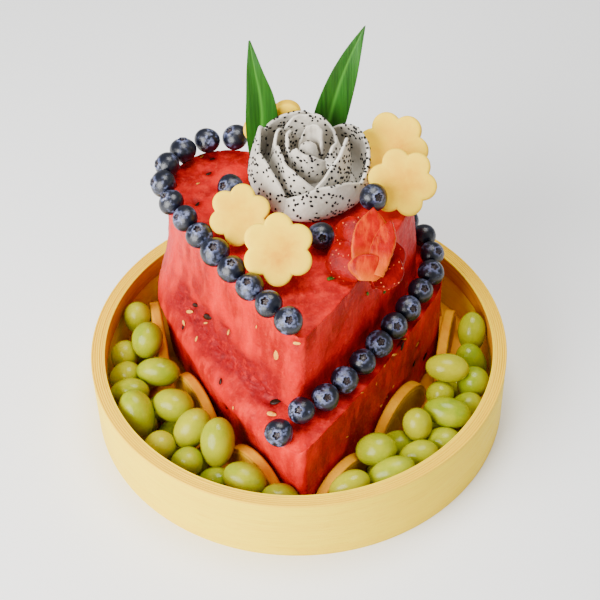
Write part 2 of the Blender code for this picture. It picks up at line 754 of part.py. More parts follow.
add_leaf("pandan_leaf_left",
         ((-21.5, 69.9, base_level, 4.0), (-20.2, 70.2, 142.0, 7.0), (-18.2, 70.9, 158.0, 9.4),
          (-18.6, 71.2, 176.0, 8.0), (-21.0, 71.6, 194.0, 4.6), (-23.2, 72.0, 213.5, 0.5)), 0.2)
add_leaf("pandan_leaf_right",
         ((19.5, 72.4, base_level, 5.0), (20.5, 76.0, 142.0, 8.0), (22.5, 79.0, 156.0, 10.2),
          (28.0, 81.4, 176.0, 9.0), (34.5, 82.8, 195.0, 5.4), (42.0, 84.0, 213.0, 0.5)), 0.20)
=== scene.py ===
# The looks of a heart-shaped watermelon cake in its bamboo dish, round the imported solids.
# Lengths are in millimetres until a mesh is made. The hearts' tips point to -y and z is up.
import math
import random

import bmesh
import bpy
from mathutils import Matrix, Vector, noise
from mathutils.bvhtree import BVHTree


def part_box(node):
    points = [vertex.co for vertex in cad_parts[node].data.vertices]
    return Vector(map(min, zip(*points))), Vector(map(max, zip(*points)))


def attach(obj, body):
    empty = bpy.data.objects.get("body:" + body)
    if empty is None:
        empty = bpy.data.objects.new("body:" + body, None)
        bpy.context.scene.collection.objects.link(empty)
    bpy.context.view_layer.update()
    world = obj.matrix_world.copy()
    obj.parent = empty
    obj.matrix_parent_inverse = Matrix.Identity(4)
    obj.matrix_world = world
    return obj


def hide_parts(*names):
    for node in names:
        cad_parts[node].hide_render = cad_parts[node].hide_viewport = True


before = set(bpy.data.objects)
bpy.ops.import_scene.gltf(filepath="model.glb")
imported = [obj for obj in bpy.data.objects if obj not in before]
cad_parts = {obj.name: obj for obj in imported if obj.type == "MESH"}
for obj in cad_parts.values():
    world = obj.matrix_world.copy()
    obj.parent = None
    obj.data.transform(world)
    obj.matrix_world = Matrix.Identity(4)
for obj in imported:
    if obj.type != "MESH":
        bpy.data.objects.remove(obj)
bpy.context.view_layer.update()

MM = 0.001

# ---- table, light and camera ------------------------------------------------
# The cake stands on a plain pale table, under a broad soft light from the front left
# and weaker ones from above and the right. The camera looks down on it at 45 degrees.
CAMERA_AIM = Vector((1.5, 79.9, 0.0))
CAMERA_DISTANCE = 993.7
CAMERA_ELEVATION = math.radians(44.97)
CAMERA_ROLL = math.radians(1.45)
LENS = 90.0
SENSOR = 36.0
PHOTO_SIDE = 600


def add_object(name, data):
    """A new object in the scene that holds a mesh, a light or a camera."""
    made = bpy.data.objects.new(name, data)
    bpy.context.scene.collection.objects.link(made)
    return made


camera_back = Vector((0.0, -math.cos(CAMERA_ELEVATION), math.sin(CAMERA_ELEVATION)))
level_up = camera_back.cross(Vector((1.0, 0.0, 0.0)))
camera_right = Vector((math.cos(CAMERA_ROLL), 0.0, 0.0)) - level_up * math.sin(CAMERA_ROLL)
camera_up = Vector((math.sin(CAMERA_ROLL), 0.0, 0.0)) + level_up * math.cos(CAMERA_ROLL)
camera_place = CAMERA_AIM + camera_back * CAMERA_DISTANCE
camera_data = bpy.data.cameras.new("camera")
camera_data.lens = LENS
camera_data.sensor_width = SENSOR
camera = add_object("camera", camera_data)
camera_axes = Matrix((camera_right, camera_up, camera_back)).transposed()
camera.matrix_world = Matrix.Translation(camera_place * MM) @ camera_axes.to_4x4()
bpy.context.scene.camera = camera


def sight_line(pixel):
    """The direction in which the camera sees a pixel of the photograph."""
    focal = PHOTO_SIDE * LENS / SENSOR
    across = (pixel[0] - PHOTO_SIDE / 2) / focal
    down = (pixel[1] - PHOTO_SIDE / 2) / focal
    return (camera_right * across - camera_up * down - camera_back).normalized()


LIGHT_AIM = Vector((0, 0, 60))


def add_light(name, place, size, power):
    """A round lamp that faces the cake: its place and width in millimetres, its watts."""
    light = bpy.data.lights.new(name, "AREA")
    light.shape = "DISK"
    light.size = size * MM
    light.energy = power
    lamp = add_object(name, light)
    lamp.location = Vector(place) * MM
    lamp.rotation_mode = "QUATERNION"
    lamp.rotation_quaternion = (LIGHT_AIM - Vector(place)).to_track_quat("-Z", "Y")


add_light("key", (-840, -740, 560), size=1100, power=52.0)
add_light("top", (60, 160, 1200), size=700, power=16.0)
add_light("right_fill", (800, -500, 420), size=700, power=1.0)
ROOM_LIGHT = 0.42
world = bpy.data.worlds.new("soft_room")
world.use_nodes = True
background = world.node_tree.nodes["Background"].inputs
background["Color"].default_value = (1.0, 1.0, 1.0, 1.0)
background["Strength"].default_value = ROOM_LIGHT
bpy.context.scene.world = world

TABLE_SIDE = 6000
TABLE_COLOUR = (0.93, 0.93, 0.92, 1.0)
bpy.ops.mesh.primitive_plane_add(size=TABLE_SIDE * MM)
table = bpy.context.object
table.name = "table"
table_finish = bpy.data.materials.new("table")
table_finish.use_nodes = True
table_shader = table_finish.node_tree.nodes["Principled BSDF"]
table_shader.inputs["Base Color"].default_value = TABLE_COLOUR
table_shader.inputs["Roughness"].default_value = 0.8
table.data.materials.append(table_finish)

# ---- bamboo dish ------------------------------------------------------------
# A steamer-like dish of bamboo: thin strips are soaked, wound into a hoop and
# pinned, a shorter hoop lines its upper part, and a flat board closes the bottom.
dish_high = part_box("bamboo_dish")[1]
DISH_RADIUS = dish_high.x / MM
DISH_HEIGHT = dish_high.z / MM
WALL = 8.3
FLOOR_THICKNESS = 5.0
LINING_FOOT = 31.0
LINING_THICKNESS = 1.6
DISH_STEPS = 240
MERGED_WITHIN = 0.001


def add_node(tree, kind, inputs=None, **settings):
    """A node with its settings; an input given a node or a socket is linked to it."""
    node = tree.nodes.new(kind)
    for key, value in settings.items():
        setattr(node, key, value)
    for key, value in (inputs or {}).items():
        if isinstance(value, bpy.types.Node):
            value = value.outputs[0]
        if isinstance(value, bpy.types.NodeSocket):
            tree.links.new(value, node.inputs[key])
        else:
            node.inputs[key].default_value = value
    return node


def math_of(tree, operation, *values):
    """What a Math node gives for its values."""
    return add_node(tree, "ShaderNodeMath", dict(enumerate(values)),
                    operation=operation).outputs[0]


def stored(tree, label, kind="FLOAT"):
    """A value that is stored on a shape's points, in a tree that shapes it."""
    return add_node(tree, "GeometryNodeInputNamedAttribute", {"Name": label}, data_type=kind)


def chance_in(tree, seed, low=0.0, high=1.0):
    """A number drawn for each point, from the seed."""
    return add_node(tree, "FunctionNodeRandomValue", {2: low, 3: high, "Seed": seed},
                    data_type="FLOAT").outputs[1]


def toned(tree, copies, seed):
    """Copies that each carry a tone of their own, from 0 to 1."""
    return add_node(tree, "GeometryNodeStoreNamedAttribute",
                    {"Geometry": copies, "Name": "tone", "Value": chance_in(tree, seed)},
                    data_type="FLOAT", domain="INSTANCE")


def ended(tree, result, shape, finish):
    """The tree, closed with its copies made real and its material set."""
    real = add_node(tree, "GeometryNodeRealizeInstances", {"Geometry": shape})
    painted = add_node(tree, "GeometryNodeSetMaterial", {"Geometry": real, "Material": finish})
    tree.links.new(painted.outputs[0], result.inputs[0])
    return tree


def new_tree(name, kind, inputs, outputs):
    """A node group with named sockets, and its input and output nodes."""
    tree = bpy.data.node_groups.new(name, kind)
    for way, sockets in (("INPUT", inputs), ("OUTPUT", outputs)):
        for label, sort in sockets.items():
            tree.interface.new_socket(label, in_out=way, socket_type="NodeSocket" + sort)
    return tree, tree.nodes.new("NodeGroupInput"), tree.nodes.new("NodeGroupOutput")


def grown(name, base, tree, values):
    """The plain mesh that a tree makes from a base object, which is used up."""
    modifier = base.modifiers.new("grow", "NODES")
    modifier.node_group = tree
    for item in tree.interface.items_tree:
        if item.item_type == "SOCKET" and item.in_out == "INPUT" and item.name in values:
            modifier[item.identifier] = values[item.name]
    graph = bpy.context.evaluated_depsgraph_get()
    mesh = bpy.data.meshes.new_from_object(base.evaluated_get(graph))
    base.modifiers.remove(modifier)
    bpy.data.objects.remove(base, do_unlink=True)
    return add_object(name, mesh)


def make_piece(name, points, faces, finish, measures=None):
    """A smooth mesh object with outward faces; measures are its points' attributes."""
    mesh = bpy.data.meshes.new(name)
    mesh.from_pydata([Vector(p) * MM for p in points], [], faces)
    for label, values in (measures or {}).items():
        mesh.attributes.new(label, "FLOAT", "POINT").data.foreach_set("value", values)
    sorted_out = bmesh.new()
    sorted_out.from_mesh(mesh)
    bmesh.ops.remove_doubles(sorted_out, verts=sorted_out.verts, dist=MERGED_WITHIN * MM)
    bmesh.ops.recalc_face_normals(sorted_out, faces=sorted_out.faces)
    sorted_out.to_mesh(mesh)
    sorted_out.free()
    if finish:
        mesh.materials.append(finish)
    mesh.shade_smooth()
    return add_object(name, mesh)


def skin_over(rings):
    """Points and faces of a closed skin over looped rings, with a fan on each end."""
    count = len(rings[0])
    points = [Vector(p) for ring in rings for p in ring]
    faces = []
    for level in range(len(rings) - 1):
        low = level * count
        for i in range(count):
            j = (i + 1) % count
            faces.append((low + i, low + j, low + count + j, low + count + i))
    for ring, first in ((rings[0], 0), (rings[-1], (len(rings) - 1) * count)):
        points.append(sum((Vector(p) for p in ring), Vector()) / count)
        for i in range(count):
            faces.append((first + i, first + (i + 1) % count, len(points) - 1))
    return points, faces


def angles_round(steps):
    """The angles of evenly spaced points, once round."""
    return [2 * math.pi * i / steps for i in range(steps)]


def turned(profile, steps):
    """Rings of a round shape from (radius, height) pairs."""
    return [[(radius * math.cos(angle), radius * math.sin(angle), height)
             for angle in angles_round(steps)] for radius, height in profile]


def strip_tree():
    """Concentric strips round an axis, each a thin band with eased edges."""
    tree, given, result = new_tree(
        "wound_strips", "GeometryNodeTree",
        {"Geometry": "Geometry", "Inner Radius": "Float", "Strip Thickness": "Float",
         "Strip Count": "Int", "Foot": "Float", "Top": "Float", "Eased Edge": "Float",
         "Uneven Top": "Float", "Gap": "Float", "Seed": "Int", "Finish": "Material"},
        {"Geometry": "Geometry"})
    inputs = given.outputs
    thickness = inputs["Strip Thickness"]
    number = add_node(tree, "GeometryNodeInputIndex")
    radius = math_of(tree, "MULTIPLY_ADD", math_of(tree, "ADD", number, 0.5), thickness,
                     inputs["Inner Radius"])
    stretch = add_node(tree, "ShaderNodeCombineXYZ", {"X": radius, "Y": radius, "Z": 1.0})
    places = add_node(tree, "GeometryNodeMeshLine",
                      {"Count": inputs["Strip Count"], "Offset": (0.0, 0.0, 0.0)})
    circle = add_node(tree, "GeometryNodeCurvePrimitiveCircle",
                      {"Resolution": DISH_STEPS, "Radius": 1.0})
    hoops = add_node(tree, "GeometryNodeInstanceOnPoints",
                     {"Points": places, "Instance": circle, "Scale": stretch})
    paths = add_node(tree, "GeometryNodeRealizeInstances",
                     {"Geometry": toned(tree, hoops, inputs["Seed"])})
    band = add_node(tree, "GeometryNodeCurvePrimitiveQuadrilateral",
                    {"Width": math_of(tree, "SUBTRACT", thickness, inputs["Gap"]),
                     "Height": math_of(tree, "SUBTRACT", inputs["Top"], inputs["Foot"])},
                    mode="RECTANGLE")
    eased = add_node(tree, "GeometryNodeFilletCurve",
                     {"Curve": band, "Count": 3, "Radius": inputs["Eased Edge"]}, mode="POLY")
    swept = add_node(tree, "GeometryNodeCurveToMesh", {"Curve": paths, "Profile Curve": eased})
    place = add_node(tree, "ShaderNodeSeparateXYZ",
                     {0: add_node(tree, "GeometryNodeInputPosition")})
    upper = add_node(tree, "FunctionNodeCompare", {0: place.outputs["Z"], 1: 0.0},
                     data_type="FLOAT", operation="GREATER_THAN")
    wave = add_node(tree, "ShaderNodeTexNoise",
                    {"W": math_of(tree, "MULTIPLY", stored(tree, "tone"), 40.0), "Scale": 9.0,
                     "Detail": 1.0}, noise_dimensions="4D")
    sunk = math_of(tree, "MULTIPLY", math_of(tree, "MULTIPLY", wave, inputs["Uneven Top"]),
                   upper)
    centre = math_of(tree, "MULTIPLY", math_of(tree, "ADD", inputs["Top"], inputs["Foot"]), 0.5)
    lift = add_node(tree, "ShaderNodeCombineXYZ", {"Z": math_of(tree, "SUBTRACT", centre, sunk)})
    placed = add_node(tree, "GeometryNodeSetPosition", {"Geometry": swept, "Offset": lift})
    smooth = add_node(tree, "GeometryNodeSetShadeSmooth",
                      {"Geometry": placed, "Shade Smooth": True})
    return ended(tree, result, smooth, inputs["Finish"])


def fibre_group():
    """Streaks along a material's grain: noise that is stretched in object space."""
    tree, given, result = new_tree(
        "fibres", "ShaderNodeTree",
        {"Stretch": "Vector", "Detail": "Float", "Low": "Float", "High": "Float"},
        {"Share": "Float"})
    inputs = given.outputs
    place = add_node(tree, "ShaderNodeTexCoord").outputs["Object"]
    scaled = add_node(tree, "ShaderNodeVectorMath", {0: place, 1: inputs["Stretch"]},
                      operation="MULTIPLY")
    streaks = add_node(tree, "ShaderNodeTexNoise",
                       {"Vector": scaled, "Scale": 1.0, "Detail": inputs["Detail"],
                        "Roughness": 0.6})
    share = add_node(tree, "ShaderNodeMapRange", {"Value": streaks, "From Min": inputs["Low"],
                                                  "From Max": inputs["High"]})
    tree.links.new(share.outputs[0], result.inputs["Share"])
    return tree


fibres = fibre_group()


def new_finish(name, roughness, **constants):
    """A material, its tree and its shader; constants sit on the shader's own sockets."""
    made = bpy.data.materials.new(name)
    made.use_nodes = True
    shader = made.node_tree.nodes["Principled BSDF"]
    shader.inputs["Roughness"].default_value = roughness
    for key, value in constants.items():
        shader.inputs[key.replace("_", " ")].default_value = value
    return made, made.node_tree, shader


def streaks_in(tree, stretch, detail, low, high):
    """The fibre group's share, from 0 to 1; a single stretch holds for all three ways."""
    stretch = (stretch,) * 3 if isinstance(stretch, float) else stretch
    return add_node(tree, "ShaderNodeGroup",
                    {"Stretch": stretch, "Detail": detail, "Low": low, "High": high},
                    node_tree=fibres).outputs["Share"]


def mixed(tree, share, first, second):
    """The colour between two colours, by a share."""
    first, second = ((*c, 1.0) if isinstance(c, tuple) else c for c in (first, second))
    return add_node(tree, "ShaderNodeMix", {0: share, 6: first, 7: second},
                    data_type="RGBA").outputs[2]


def ranged(tree, value, from_low, from_high, to_low=0.0, to_high=1.0):
    """A value carried from one range to another, and kept inside it."""
    return add_node(tree, "ShaderNodeMapRange",
                    {"Value": value, "From Min": from_low, "From Max": from_high,
                     "To Min": to_low, "To Max": to_high}).outputs[0]


def layered(tree, colour, *layers):
    """A colour under layers; each is a value, its range, its share at both ends, a colour."""
    for value, low, high, low_share, high_share, above in layers:
        share = ranged(tree, value, low, high, low_share, high_share)
        colour = mixed(tree, share, colour, above)
    return colour


def bumped(tree, shader, height, depth, strength=1.0):
    """Low relief in the shader's normal; depth is in millimetres."""
    node = add_node(tree, "ShaderNodeBump",
                    {"Height": height, "Distance": depth * MM, "Strength": strength})
    tree.links.new(node.outputs[0], shader.inputs["Normal"])


def measured(tree, label):
    """A value stored on the mesh's points."""
    return add_node(tree, "ShaderNodeAttribute", attribute_name=label).outputs["Fac"]


def bamboo(name, pale, warm, dark):
    """Split bamboo: fine level fibres, a tone for each strip and a fresh-cut rim."""
    made, tree, shader = new_finish(name, 0.5, Specular_IOR_Level=0.05)
    broad = streaks_in(tree, (14.0, 14.0, 260.0), 3.0, 0.35, 0.65)
    fine = streaks_in(tree, (60.0, 60.0, 2400.0), 2.0, 0.38, 0.66)
    tone = measured(tree, "tone")
    place = add_node(tree, "ShaderNodeTexCoord").outputs["Object"]
    height = add_node(tree, "ShaderNodeSeparateXYZ", {0: place}).outputs["Z"]
    colour = layered(
        tree, mixed(tree, broad, pale, warm), (tone, 0.0, 1.0, 0.0, 0.7, warm),
        (fine, 0.55, 1.0, 0.0, 0.4, dark),
        (height, (DISH_HEIGHT - 2.0) * MM, (DISH_HEIGHT - 1.2) * MM, 0.0, 1.0,
         mixed(tree, tone, RIM_PALE, RIM_DEEP)))
    tree.links.new(colour, shader.inputs["Base Color"])
    tree.links.new(ranged(tree, fine, 0.0, 1.0, 0.34, 0.55), shader.inputs["Roughness"])
    bumped(tree, shader, fine, 0.12, 0.6)
    return made


RIM_PALE = (0.95, 0.70, 0.004)
RIM_DEEP = (0.86, 0.50, 0.002)
outer_bamboo = bamboo("bamboo_outer", (0.95, 0.74, 0.004), (0.92, 0.62, 0.002),
                      (0.70, 0.38, 0.002))
# The inside of the dish is the same bamboo as the outside, painted darker and warmer: painted
# shade, with a warm painted reflection of the orange slices. The lining and the floor board carry
# it.
inner_bamboo_painted_shade = bamboo("bamboo_inner_painted_shade", (0.70, 0.28, 0.010), (0.52, 0.16, 0.005),
                      (0.26, 0.07, 0.003))


def empty_base(name):
    """An object with an empty mesh, for a tree that makes its own geometry."""
    return add_object(name, bpy.data.meshes.new(name))


strips = strip_tree()
HOOP_STRIPS = 5
hoop_inside = DISH_RADIUS - WALL + LINING_THICKNESS
hoop = grown("bamboo_hoop", empty_base("hoop_base"), strips, {
    "Inner Radius": hoop_inside * MM,
    "Strip Thickness": (DISH_RADIUS - hoop_inside) / HOOP_STRIPS * MM,
    "Strip Count": HOOP_STRIPS, "Foot": 0.0, "Top": DISH_HEIGHT * MM,
    "Eased Edge": 0.42 * MM, "Uneven Top": 0.9 * MM, "Gap": 0.06 * MM, "Seed": 3,
    "Finish": outer_bamboo})
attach(hoop, "root")
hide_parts("bamboo_dish")

LINING_STRIPS = 2
lining = grown("bamboo_lining", empty_base("lining_base"), strips, {
    "Inner Radius": (DISH_RADIUS - WALL) * MM,
    "Strip Thickness": LINING_THICKNESS / LINING_STRIPS * MM,
    "Strip Count": LINING_STRIPS, "Foot": LINING_FOOT * MM, "Top": (DISH_HEIGHT - 0.4) * MM,
    "Eased Edge": 0.3 * MM, "Uneven Top": 0.6 * MM, "Gap": 0.04 * MM, "Seed": 8,
    "Finish": inner_bamboo_painted_shade})
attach(lining, "root")

board_radius = hoop_inside - 0.1
board_points, board_faces = skin_over(turned(
    [(2.0, 0.3), (board_radius - 0.8, 0.3), (board_radius, 1.1),
     (board_radius, FLOOR_THICKNESS - 0.6), (board_radius - 0.6, FLOOR_THICKNESS),
     (2.0, FLOOR_THICKNESS)], DISH_STEPS))
board = make_piece("bamboo_board", board_points, board_faces, inner_bamboo_painted_shade)
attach(board, "root")

# ---- watermelon hearts ------------------------------------------------------
# Two thick slabs of ripe seeded watermelon, cut by hand into hearts and stacked.
# The knife leaves soft edges, and the wet cut flesh is grainy, with pits at the seeds.
LEDGE_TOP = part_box("watermelon_lower")[1].z / MM
CAKE_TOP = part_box("watermelon_upper")[1].z / MM
CAKE_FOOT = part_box("watermelon_lower")[0].z / MM
STACK_GAP = 0.3
SHOULDER_DROP = 16.0
FOOT_FLARE = 8.0
FOOT_TUCK = 1.5
JOINT_LAP = 2.0
BASE_TAPER = 5.0
LOBE_STEPS = 74
SIDE_STEPS = 62
TIP_STEPS = 13
CLEFT_STEPS = 15
# The slope of the left wall ends at these x and y, and fades out over these lengths.
SLOPE_END = (2.0, 84.0)
SLOPE_FADE = (26.0, 32.0)
ROUGH_WAVES = 0.045
LOWER_MIDDLE = (0.0, 15.0)
UPPER_MIDDLE = (-4.0, 22.0)
TOP_RINGS = 38


def arc(centre, radius, start, end, steps):
    """Points along an arc, both its ends among them."""
    angles = [start + (end - start) * i / (steps - 1) for i in range(steps)]
    return [Vector((centre[0] + radius * math.cos(angle), centre[1] + radius * math.sin(angle)))
            for angle in angles]


def side_heading(tip, tip_radius, lobe, lobe_radius, hand):
    """Heading from the tip of the straight side that touches both circles."""
    away = Vector(lobe) - tip
    return math.atan2(away.y, away.x) - hand * math.asin((lobe_radius - tip_radius) / away.length)


def bowed(start, end, bow, steps):
    """Points between the ends of a side, bowed to the right of its heading."""
    run = end - start
    outward = Vector((run.y, -run.x)).normalized()
    shares = [i / steps for i in range(1, steps)]
    return [start + run * t + outward * bow * 4 * t * (1 - t) for t in shares]


def heart(tip, tip_radius, left, left_radius, right, right_radius, cleft_radius, bows):
    """Outline of a heart, counterclockwise from the cleft round the left lobe."""
    near_tip = Vector((tip[0], tip[1] + tip_radius))
    left_out = side_heading(near_tip, tip_radius, left, left_radius, -1) + math.pi / 2
    right_out = side_heading(near_tip, tip_radius, right, right_radius, 1) - math.pi / 2
    across = Vector(right) - Vector(left)
    reach_left = left_radius + cleft_radius
    reach_right = right_radius + cleft_radius
    along = (across.length ** 2 + reach_left ** 2 - reach_right ** 2) / (2 * across.length)
    unit = across.normalized()
    cleft = (Vector(left) + unit * along
             + Vector((-unit.y, unit.x)) * math.sqrt(reach_left ** 2 - along ** 2))
    to_left = math.atan2(left[1] - cleft.y, left[0] - cleft.x)
    to_right = math.atan2(right[1] - cleft.y, right[0] - cleft.x)
    left_lobe = arc(left, left_radius, to_left + math.pi, left_out, LOBE_STEPS)
    tip_points = arc(near_tip, tip_radius, left_out, right_out + 2 * math.pi, TIP_STEPS)
    right_lobe = arc(right, right_radius, right_out, to_right + math.pi, LOBE_STEPS)
    outline = left_lobe + bowed(left_lobe[-1], tip_points[0], bows[0], SIDE_STEPS)
    outline += tip_points + bowed(tip_points[-1], right_lobe[0], bows[1], SIDE_STEPS)
    cleft_points = arc(cleft, cleft_radius, to_right, to_left, CLEFT_STEPS)
    return outline + right_lobe + cleft_points[1:-1]


def outward_at(outline, i):
    """The outward way, square to a counterclockwise outline, at one of its points."""
    run = outline[(i + 1) % len(outline)] - outline[i - 1]
    return Vector((run.y, -run.x)).normalized()


def leftness(point):
    """1 on the bare sloping left shoulder, 0 on the flat right ledge and behind."""
    beside, before = (max(0.0, min(1.0, (end - at) / fade))
                      for at, end, fade in zip(point, SLOPE_END, SLOPE_FADE))
    return beside * before


def rough(point, height, amount):
    """Hand-cut unevenness, a little outwards or inwards."""
    return amount * noise.noise(Vector((point.x, point.y, height)) * ROUGH_WAVES)


def rounded(stations, steps):
    """A smooth chain through stations, each a list of points, with steps in each span."""
    chain = []
    for i in range(len(stations) - 1):
        before = stations[max(0, i - 1)]
        after = stations[min(len(stations) - 1, i + 2)]
        spans = steps[i] if isinstance(steps, (list, tuple)) else steps
        for s in range(spans):
            t = s / spans
            chain.append([0.5 * (2 * b + (c - a) * t + (2 * a - 5 * b + 4 * c - d) * t * t
                                 + (3 * b - a - 3 * c + d) * t * t * t)
                          for a, b, c, d in zip(before, stations[i], stations[i + 1], after)])
    chain.append(list(stations[-1]))
    return chain


def towards_middle(ring, middle, shares, level):
    """Rings that close a top, each a share of the way from the rim to the middle."""
    return [[p.lerp(Vector((middle[0], middle[1], level)), share) for p in ring]
            for share in shares]


lower_outline = heart(tip=(0.0, -105.0), tip_radius=5.0, left=(-37.0, 43.0), left_radius=50.0,
                      right=(38.5, 36.0), right_radius=50.5, cleft_radius=14.0, bows=(6.0, 3.0))
foot_outline = heart(tip=(-1.0, -73.5), tip_radius=5.0, left=(-37.0, 46.0), left_radius=38.0,
                     right=(37.0, 38.0), right_radius=36.5, cleft_radius=10.0, bows=(1.5, 3.5))
top_outline = heart(tip=(2.0, -75.0), tip_radius=5.0, left=(-40.0, 48.0), left_radius=37.0,
                    right=(34.5, 43.0), right_radius=36.0, cleft_radius=10.0, bows=(3.0, 3.5))

lower_levels = []
for height, out, taper, amount in ((CAKE_FOOT, -1.5, 1.0, 0.0), (CAKE_FOOT + 2.5, 0.0, 1.0, 0.8),
                                   (26.0, 0.2, 0.85, 1.4), (40.0, 0.2, 0.5, 1.4)):
    ring = []
    for i, p in enumerate(lower_outline):
        reach = out - BASE_TAPER * taper * leftness(p) + rough(p, height, amount)
        ring.append((p + outward_at(lower_outline, i) * reach).to_3d() + Vector((0, 0, height)))
    lower_levels.append(ring)
# The ledge runs in to the foot of the upper heart, which on the left is flared, so
# that the two walls are one slope there.
flared_foot = [p + outward_at(foot_outline, i) * FOOT_FLARE * leftness(p)
               for i, p in enumerate(foot_outline)]
for share, drop, shoulder in ((0.0, 3.0, 1.0), (0.1, 1.0, 0.76), (0.3, 0.3, 0.54),
                              (0.7, 0.0, 0.26)):
    ring = []
    for p, foot in zip(lower_outline, flared_foot):
        level = LEDGE_TOP - drop - SHOULDER_DROP * leftness(p) * shoulder
        moved = p.lerp(foot, share)
        ring.append(Vector((moved.x, moved.y, level)))
    lower_levels.append(ring)
ring = []
for i, p in enumerate(flared_foot):
    tucked = p - outward_at(foot_outline, i) * FOOT_TUCK * (1 - leftness(foot_outline[i]))
    ring.append(Vector((tucked.x, tucked.y, LEDGE_TOP)))
lower_levels.append(ring)
# On the left each wall runs a little way into the other heart, so no joint shows.
under_foot = []
over_foot = []
for i, p in enumerate(flared_foot):
    outward = outward_at(foot_outline, i)
    left = leftness(foot_outline[i])
    inside = p - outward * (FOOT_TUCK * (1 - left) + JOINT_LAP)
    under_foot.append(Vector((inside.x, inside.y, LEDGE_TOP + JOINT_LAP * left)))
    below = p + outward * (0.2 * left - FOOT_TUCK * 0.5 * (1 - left))
    over_foot.append(Vector((below.x, below.y, LEDGE_TOP + 0.05 - JOINT_LAP * left)))
lower_levels.append(under_foot)
lower_rings = rounded(lower_levels, (3, 15, 12, 14, 5, 5, 6, 10, 3))
lower_rings += towards_middle(lower_rings[-1], LOWER_MIDDLE, (0.5,), LEDGE_TOP - 0.2)

upper_levels = [over_foot]
for height, out, spread, amount in (
    (LEDGE_TOP + 0.1, 0.0, 1.0, 0.0), (LEDGE_TOP + 3.5, 0.0, 0.86, 0.4),
    (LEDGE_TOP + 11.0, 0.0, 0.56, 1.2), (92.0, 0.2, 0.2, 1.6), (110.0, 0.2, 0.0, 1.6),
    (CAKE_TOP - 1.6, 0.0, 0.0, 0.6), (CAKE_TOP, -1.3, 0.0, 0.0),
):
    t = (height - LEDGE_TOP) / (CAKE_TOP - LEDGE_TOP)
    outline = [a * (1 - t) + b * t for a, b in zip(foot_outline, top_outline)]
    ring = []
    for i, p in enumerate(outline):
        flare = out + spread * FOOT_FLARE * leftness(p) + rough(p, height, amount)
        ring.append((p + outward_at(outline, i) * flare).to_3d() + Vector((0, 0, height)))
    upper_levels.append(ring)
upper_rings = rounded(upper_levels, (3, 6, 6, 11, 15, 12, 3))
shares = [1 - (1 - k / TOP_RINGS) ** 0.9 for k in range(1, TOP_RINGS)]
upper_rings += towards_middle(upper_rings[-1], UPPER_MIDDLE, shares, CAKE_TOP)


def flesh_tree():
    """Knife waves and grain over a cut face, torn in places, with a pit at each seed."""
    tree, given, result = new_tree(
        "cut_flesh", "GeometryNodeTree",
        {"Geometry": "Geometry", "Seeds": "Object", "Wave Depth": "Float",
         "Grain Depth": "Float", "Pit Depth": "Float", "Pit Reach": "Float",
         "Torn Depth": "Float", "Finish": "Material"}, {"Geometry": "Geometry"})
    inputs = given.outputs
    place = add_node(tree, "GeometryNodeInputPosition").outputs[0]
    wave, grit, tear = (
        add_node(tree, "ShaderNodeTexNoise", {"Vector": place, "Scale": scale,
                                              "Detail": detail, "Roughness": roughness})
        for scale, detail, roughness in ((85.0, 2.0, 0.5), (420.0, 3.0, 0.65), (190.0, 2.0, 0.6)))
    waved = math_of(tree, "MULTIPLY", ranged(tree, wave, 0.3, 0.7, -1.0, 0.0),
                    inputs["Wave Depth"])
    grained = math_of(tree, "MULTIPLY_ADD", ranged(tree, grit, 0.3, 0.7, -1.0, 0.0),
                      inputs["Grain Depth"], waved)
    seeds = add_node(tree, "GeometryNodeObjectInfo", {"Object": inputs["Seeds"]})
    near = add_node(tree, "GeometryNodeProximity",
                    {0: seeds.outputs["Geometry"], "Source Position": place},
                    target_element="POINTS")
    closeness = add_node(tree, "ShaderNodeMapRange",
                         {"Value": near.outputs["Distance"], "From Min": 0.0,
                          "From Max": inputs["Pit Reach"], "To Min": 1.0, "To Max": 0.0},
                         interpolation_type="SMOOTHSTEP")
    pitted = math_of(tree, "MULTIPLY", closeness, inputs["Pit Depth"])
    tearing = math_of(tree, "MULTIPLY", ranged(tree, tear, 0.40, 0.64), stored(tree, "torn"))
    opened = math_of(tree, "MULTIPLY_ADD", tearing, inputs["Torn Depth"], pitted)
    move = add_node(tree, "ShaderNodeVectorMath",
                    {0: add_node(tree, "GeometryNodeInputNormal"),
                     "Scale": math_of(tree, "SUBTRACT", grained, opened)}, operation="SCALE")
    marked = add_node(tree, "GeometryNodeStoreNamedAttribute",
                      {"Geometry": inputs["Geometry"], "Name": "seed_zone", "Value": closeness},
                      data_type="FLOAT", domain="POINT")
    moved = add_node(tree, "GeometryNodeSetPosition", {"Geometry": marked, "Offset": move})
    return ended(tree, result, moved, inputs["Finish"])


def grain_group():
    """The height of small rounded cells, as juice sacs or pores."""
    tree, given, result = new_tree("grain", "ShaderNodeTree", {"Cell Scale": "Float"},
                                   {"Height": "Float"})
    place = add_node(tree, "ShaderNodeTexCoord").outputs["Object"]
    warp = add_node(tree, "ShaderNodeTexNoise", {"Vector": place, "Scale": 300.0, "Detail": 2.0})
    shift = add_node(tree, "ShaderNodeVectorMath",
                     {0: warp.outputs["Color"], 1: (0.004, 0.004, 0.004), 2: place},
                     operation="MULTIPLY_ADD")
    cells = add_node(tree, "ShaderNodeTexVoronoi",
                     {"Vector": shift, "Scale": given.outputs["Cell Scale"],
                      "Randomness": 1.0}, feature="SMOOTH_F1")
    tree.links.new(ranged(tree, cells.outputs["Distance"], 0.0, 0.8, 1.0, 0.0),
                   result.inputs["Height"])
    return tree


grain = grain_group()


def grain_in(tree, scale):
    """The height of the grain group's cells at one size."""
    return add_node(tree, "ShaderNodeGroup", {"Cell Scale": scale}, node_tree=grain).outputs[0]


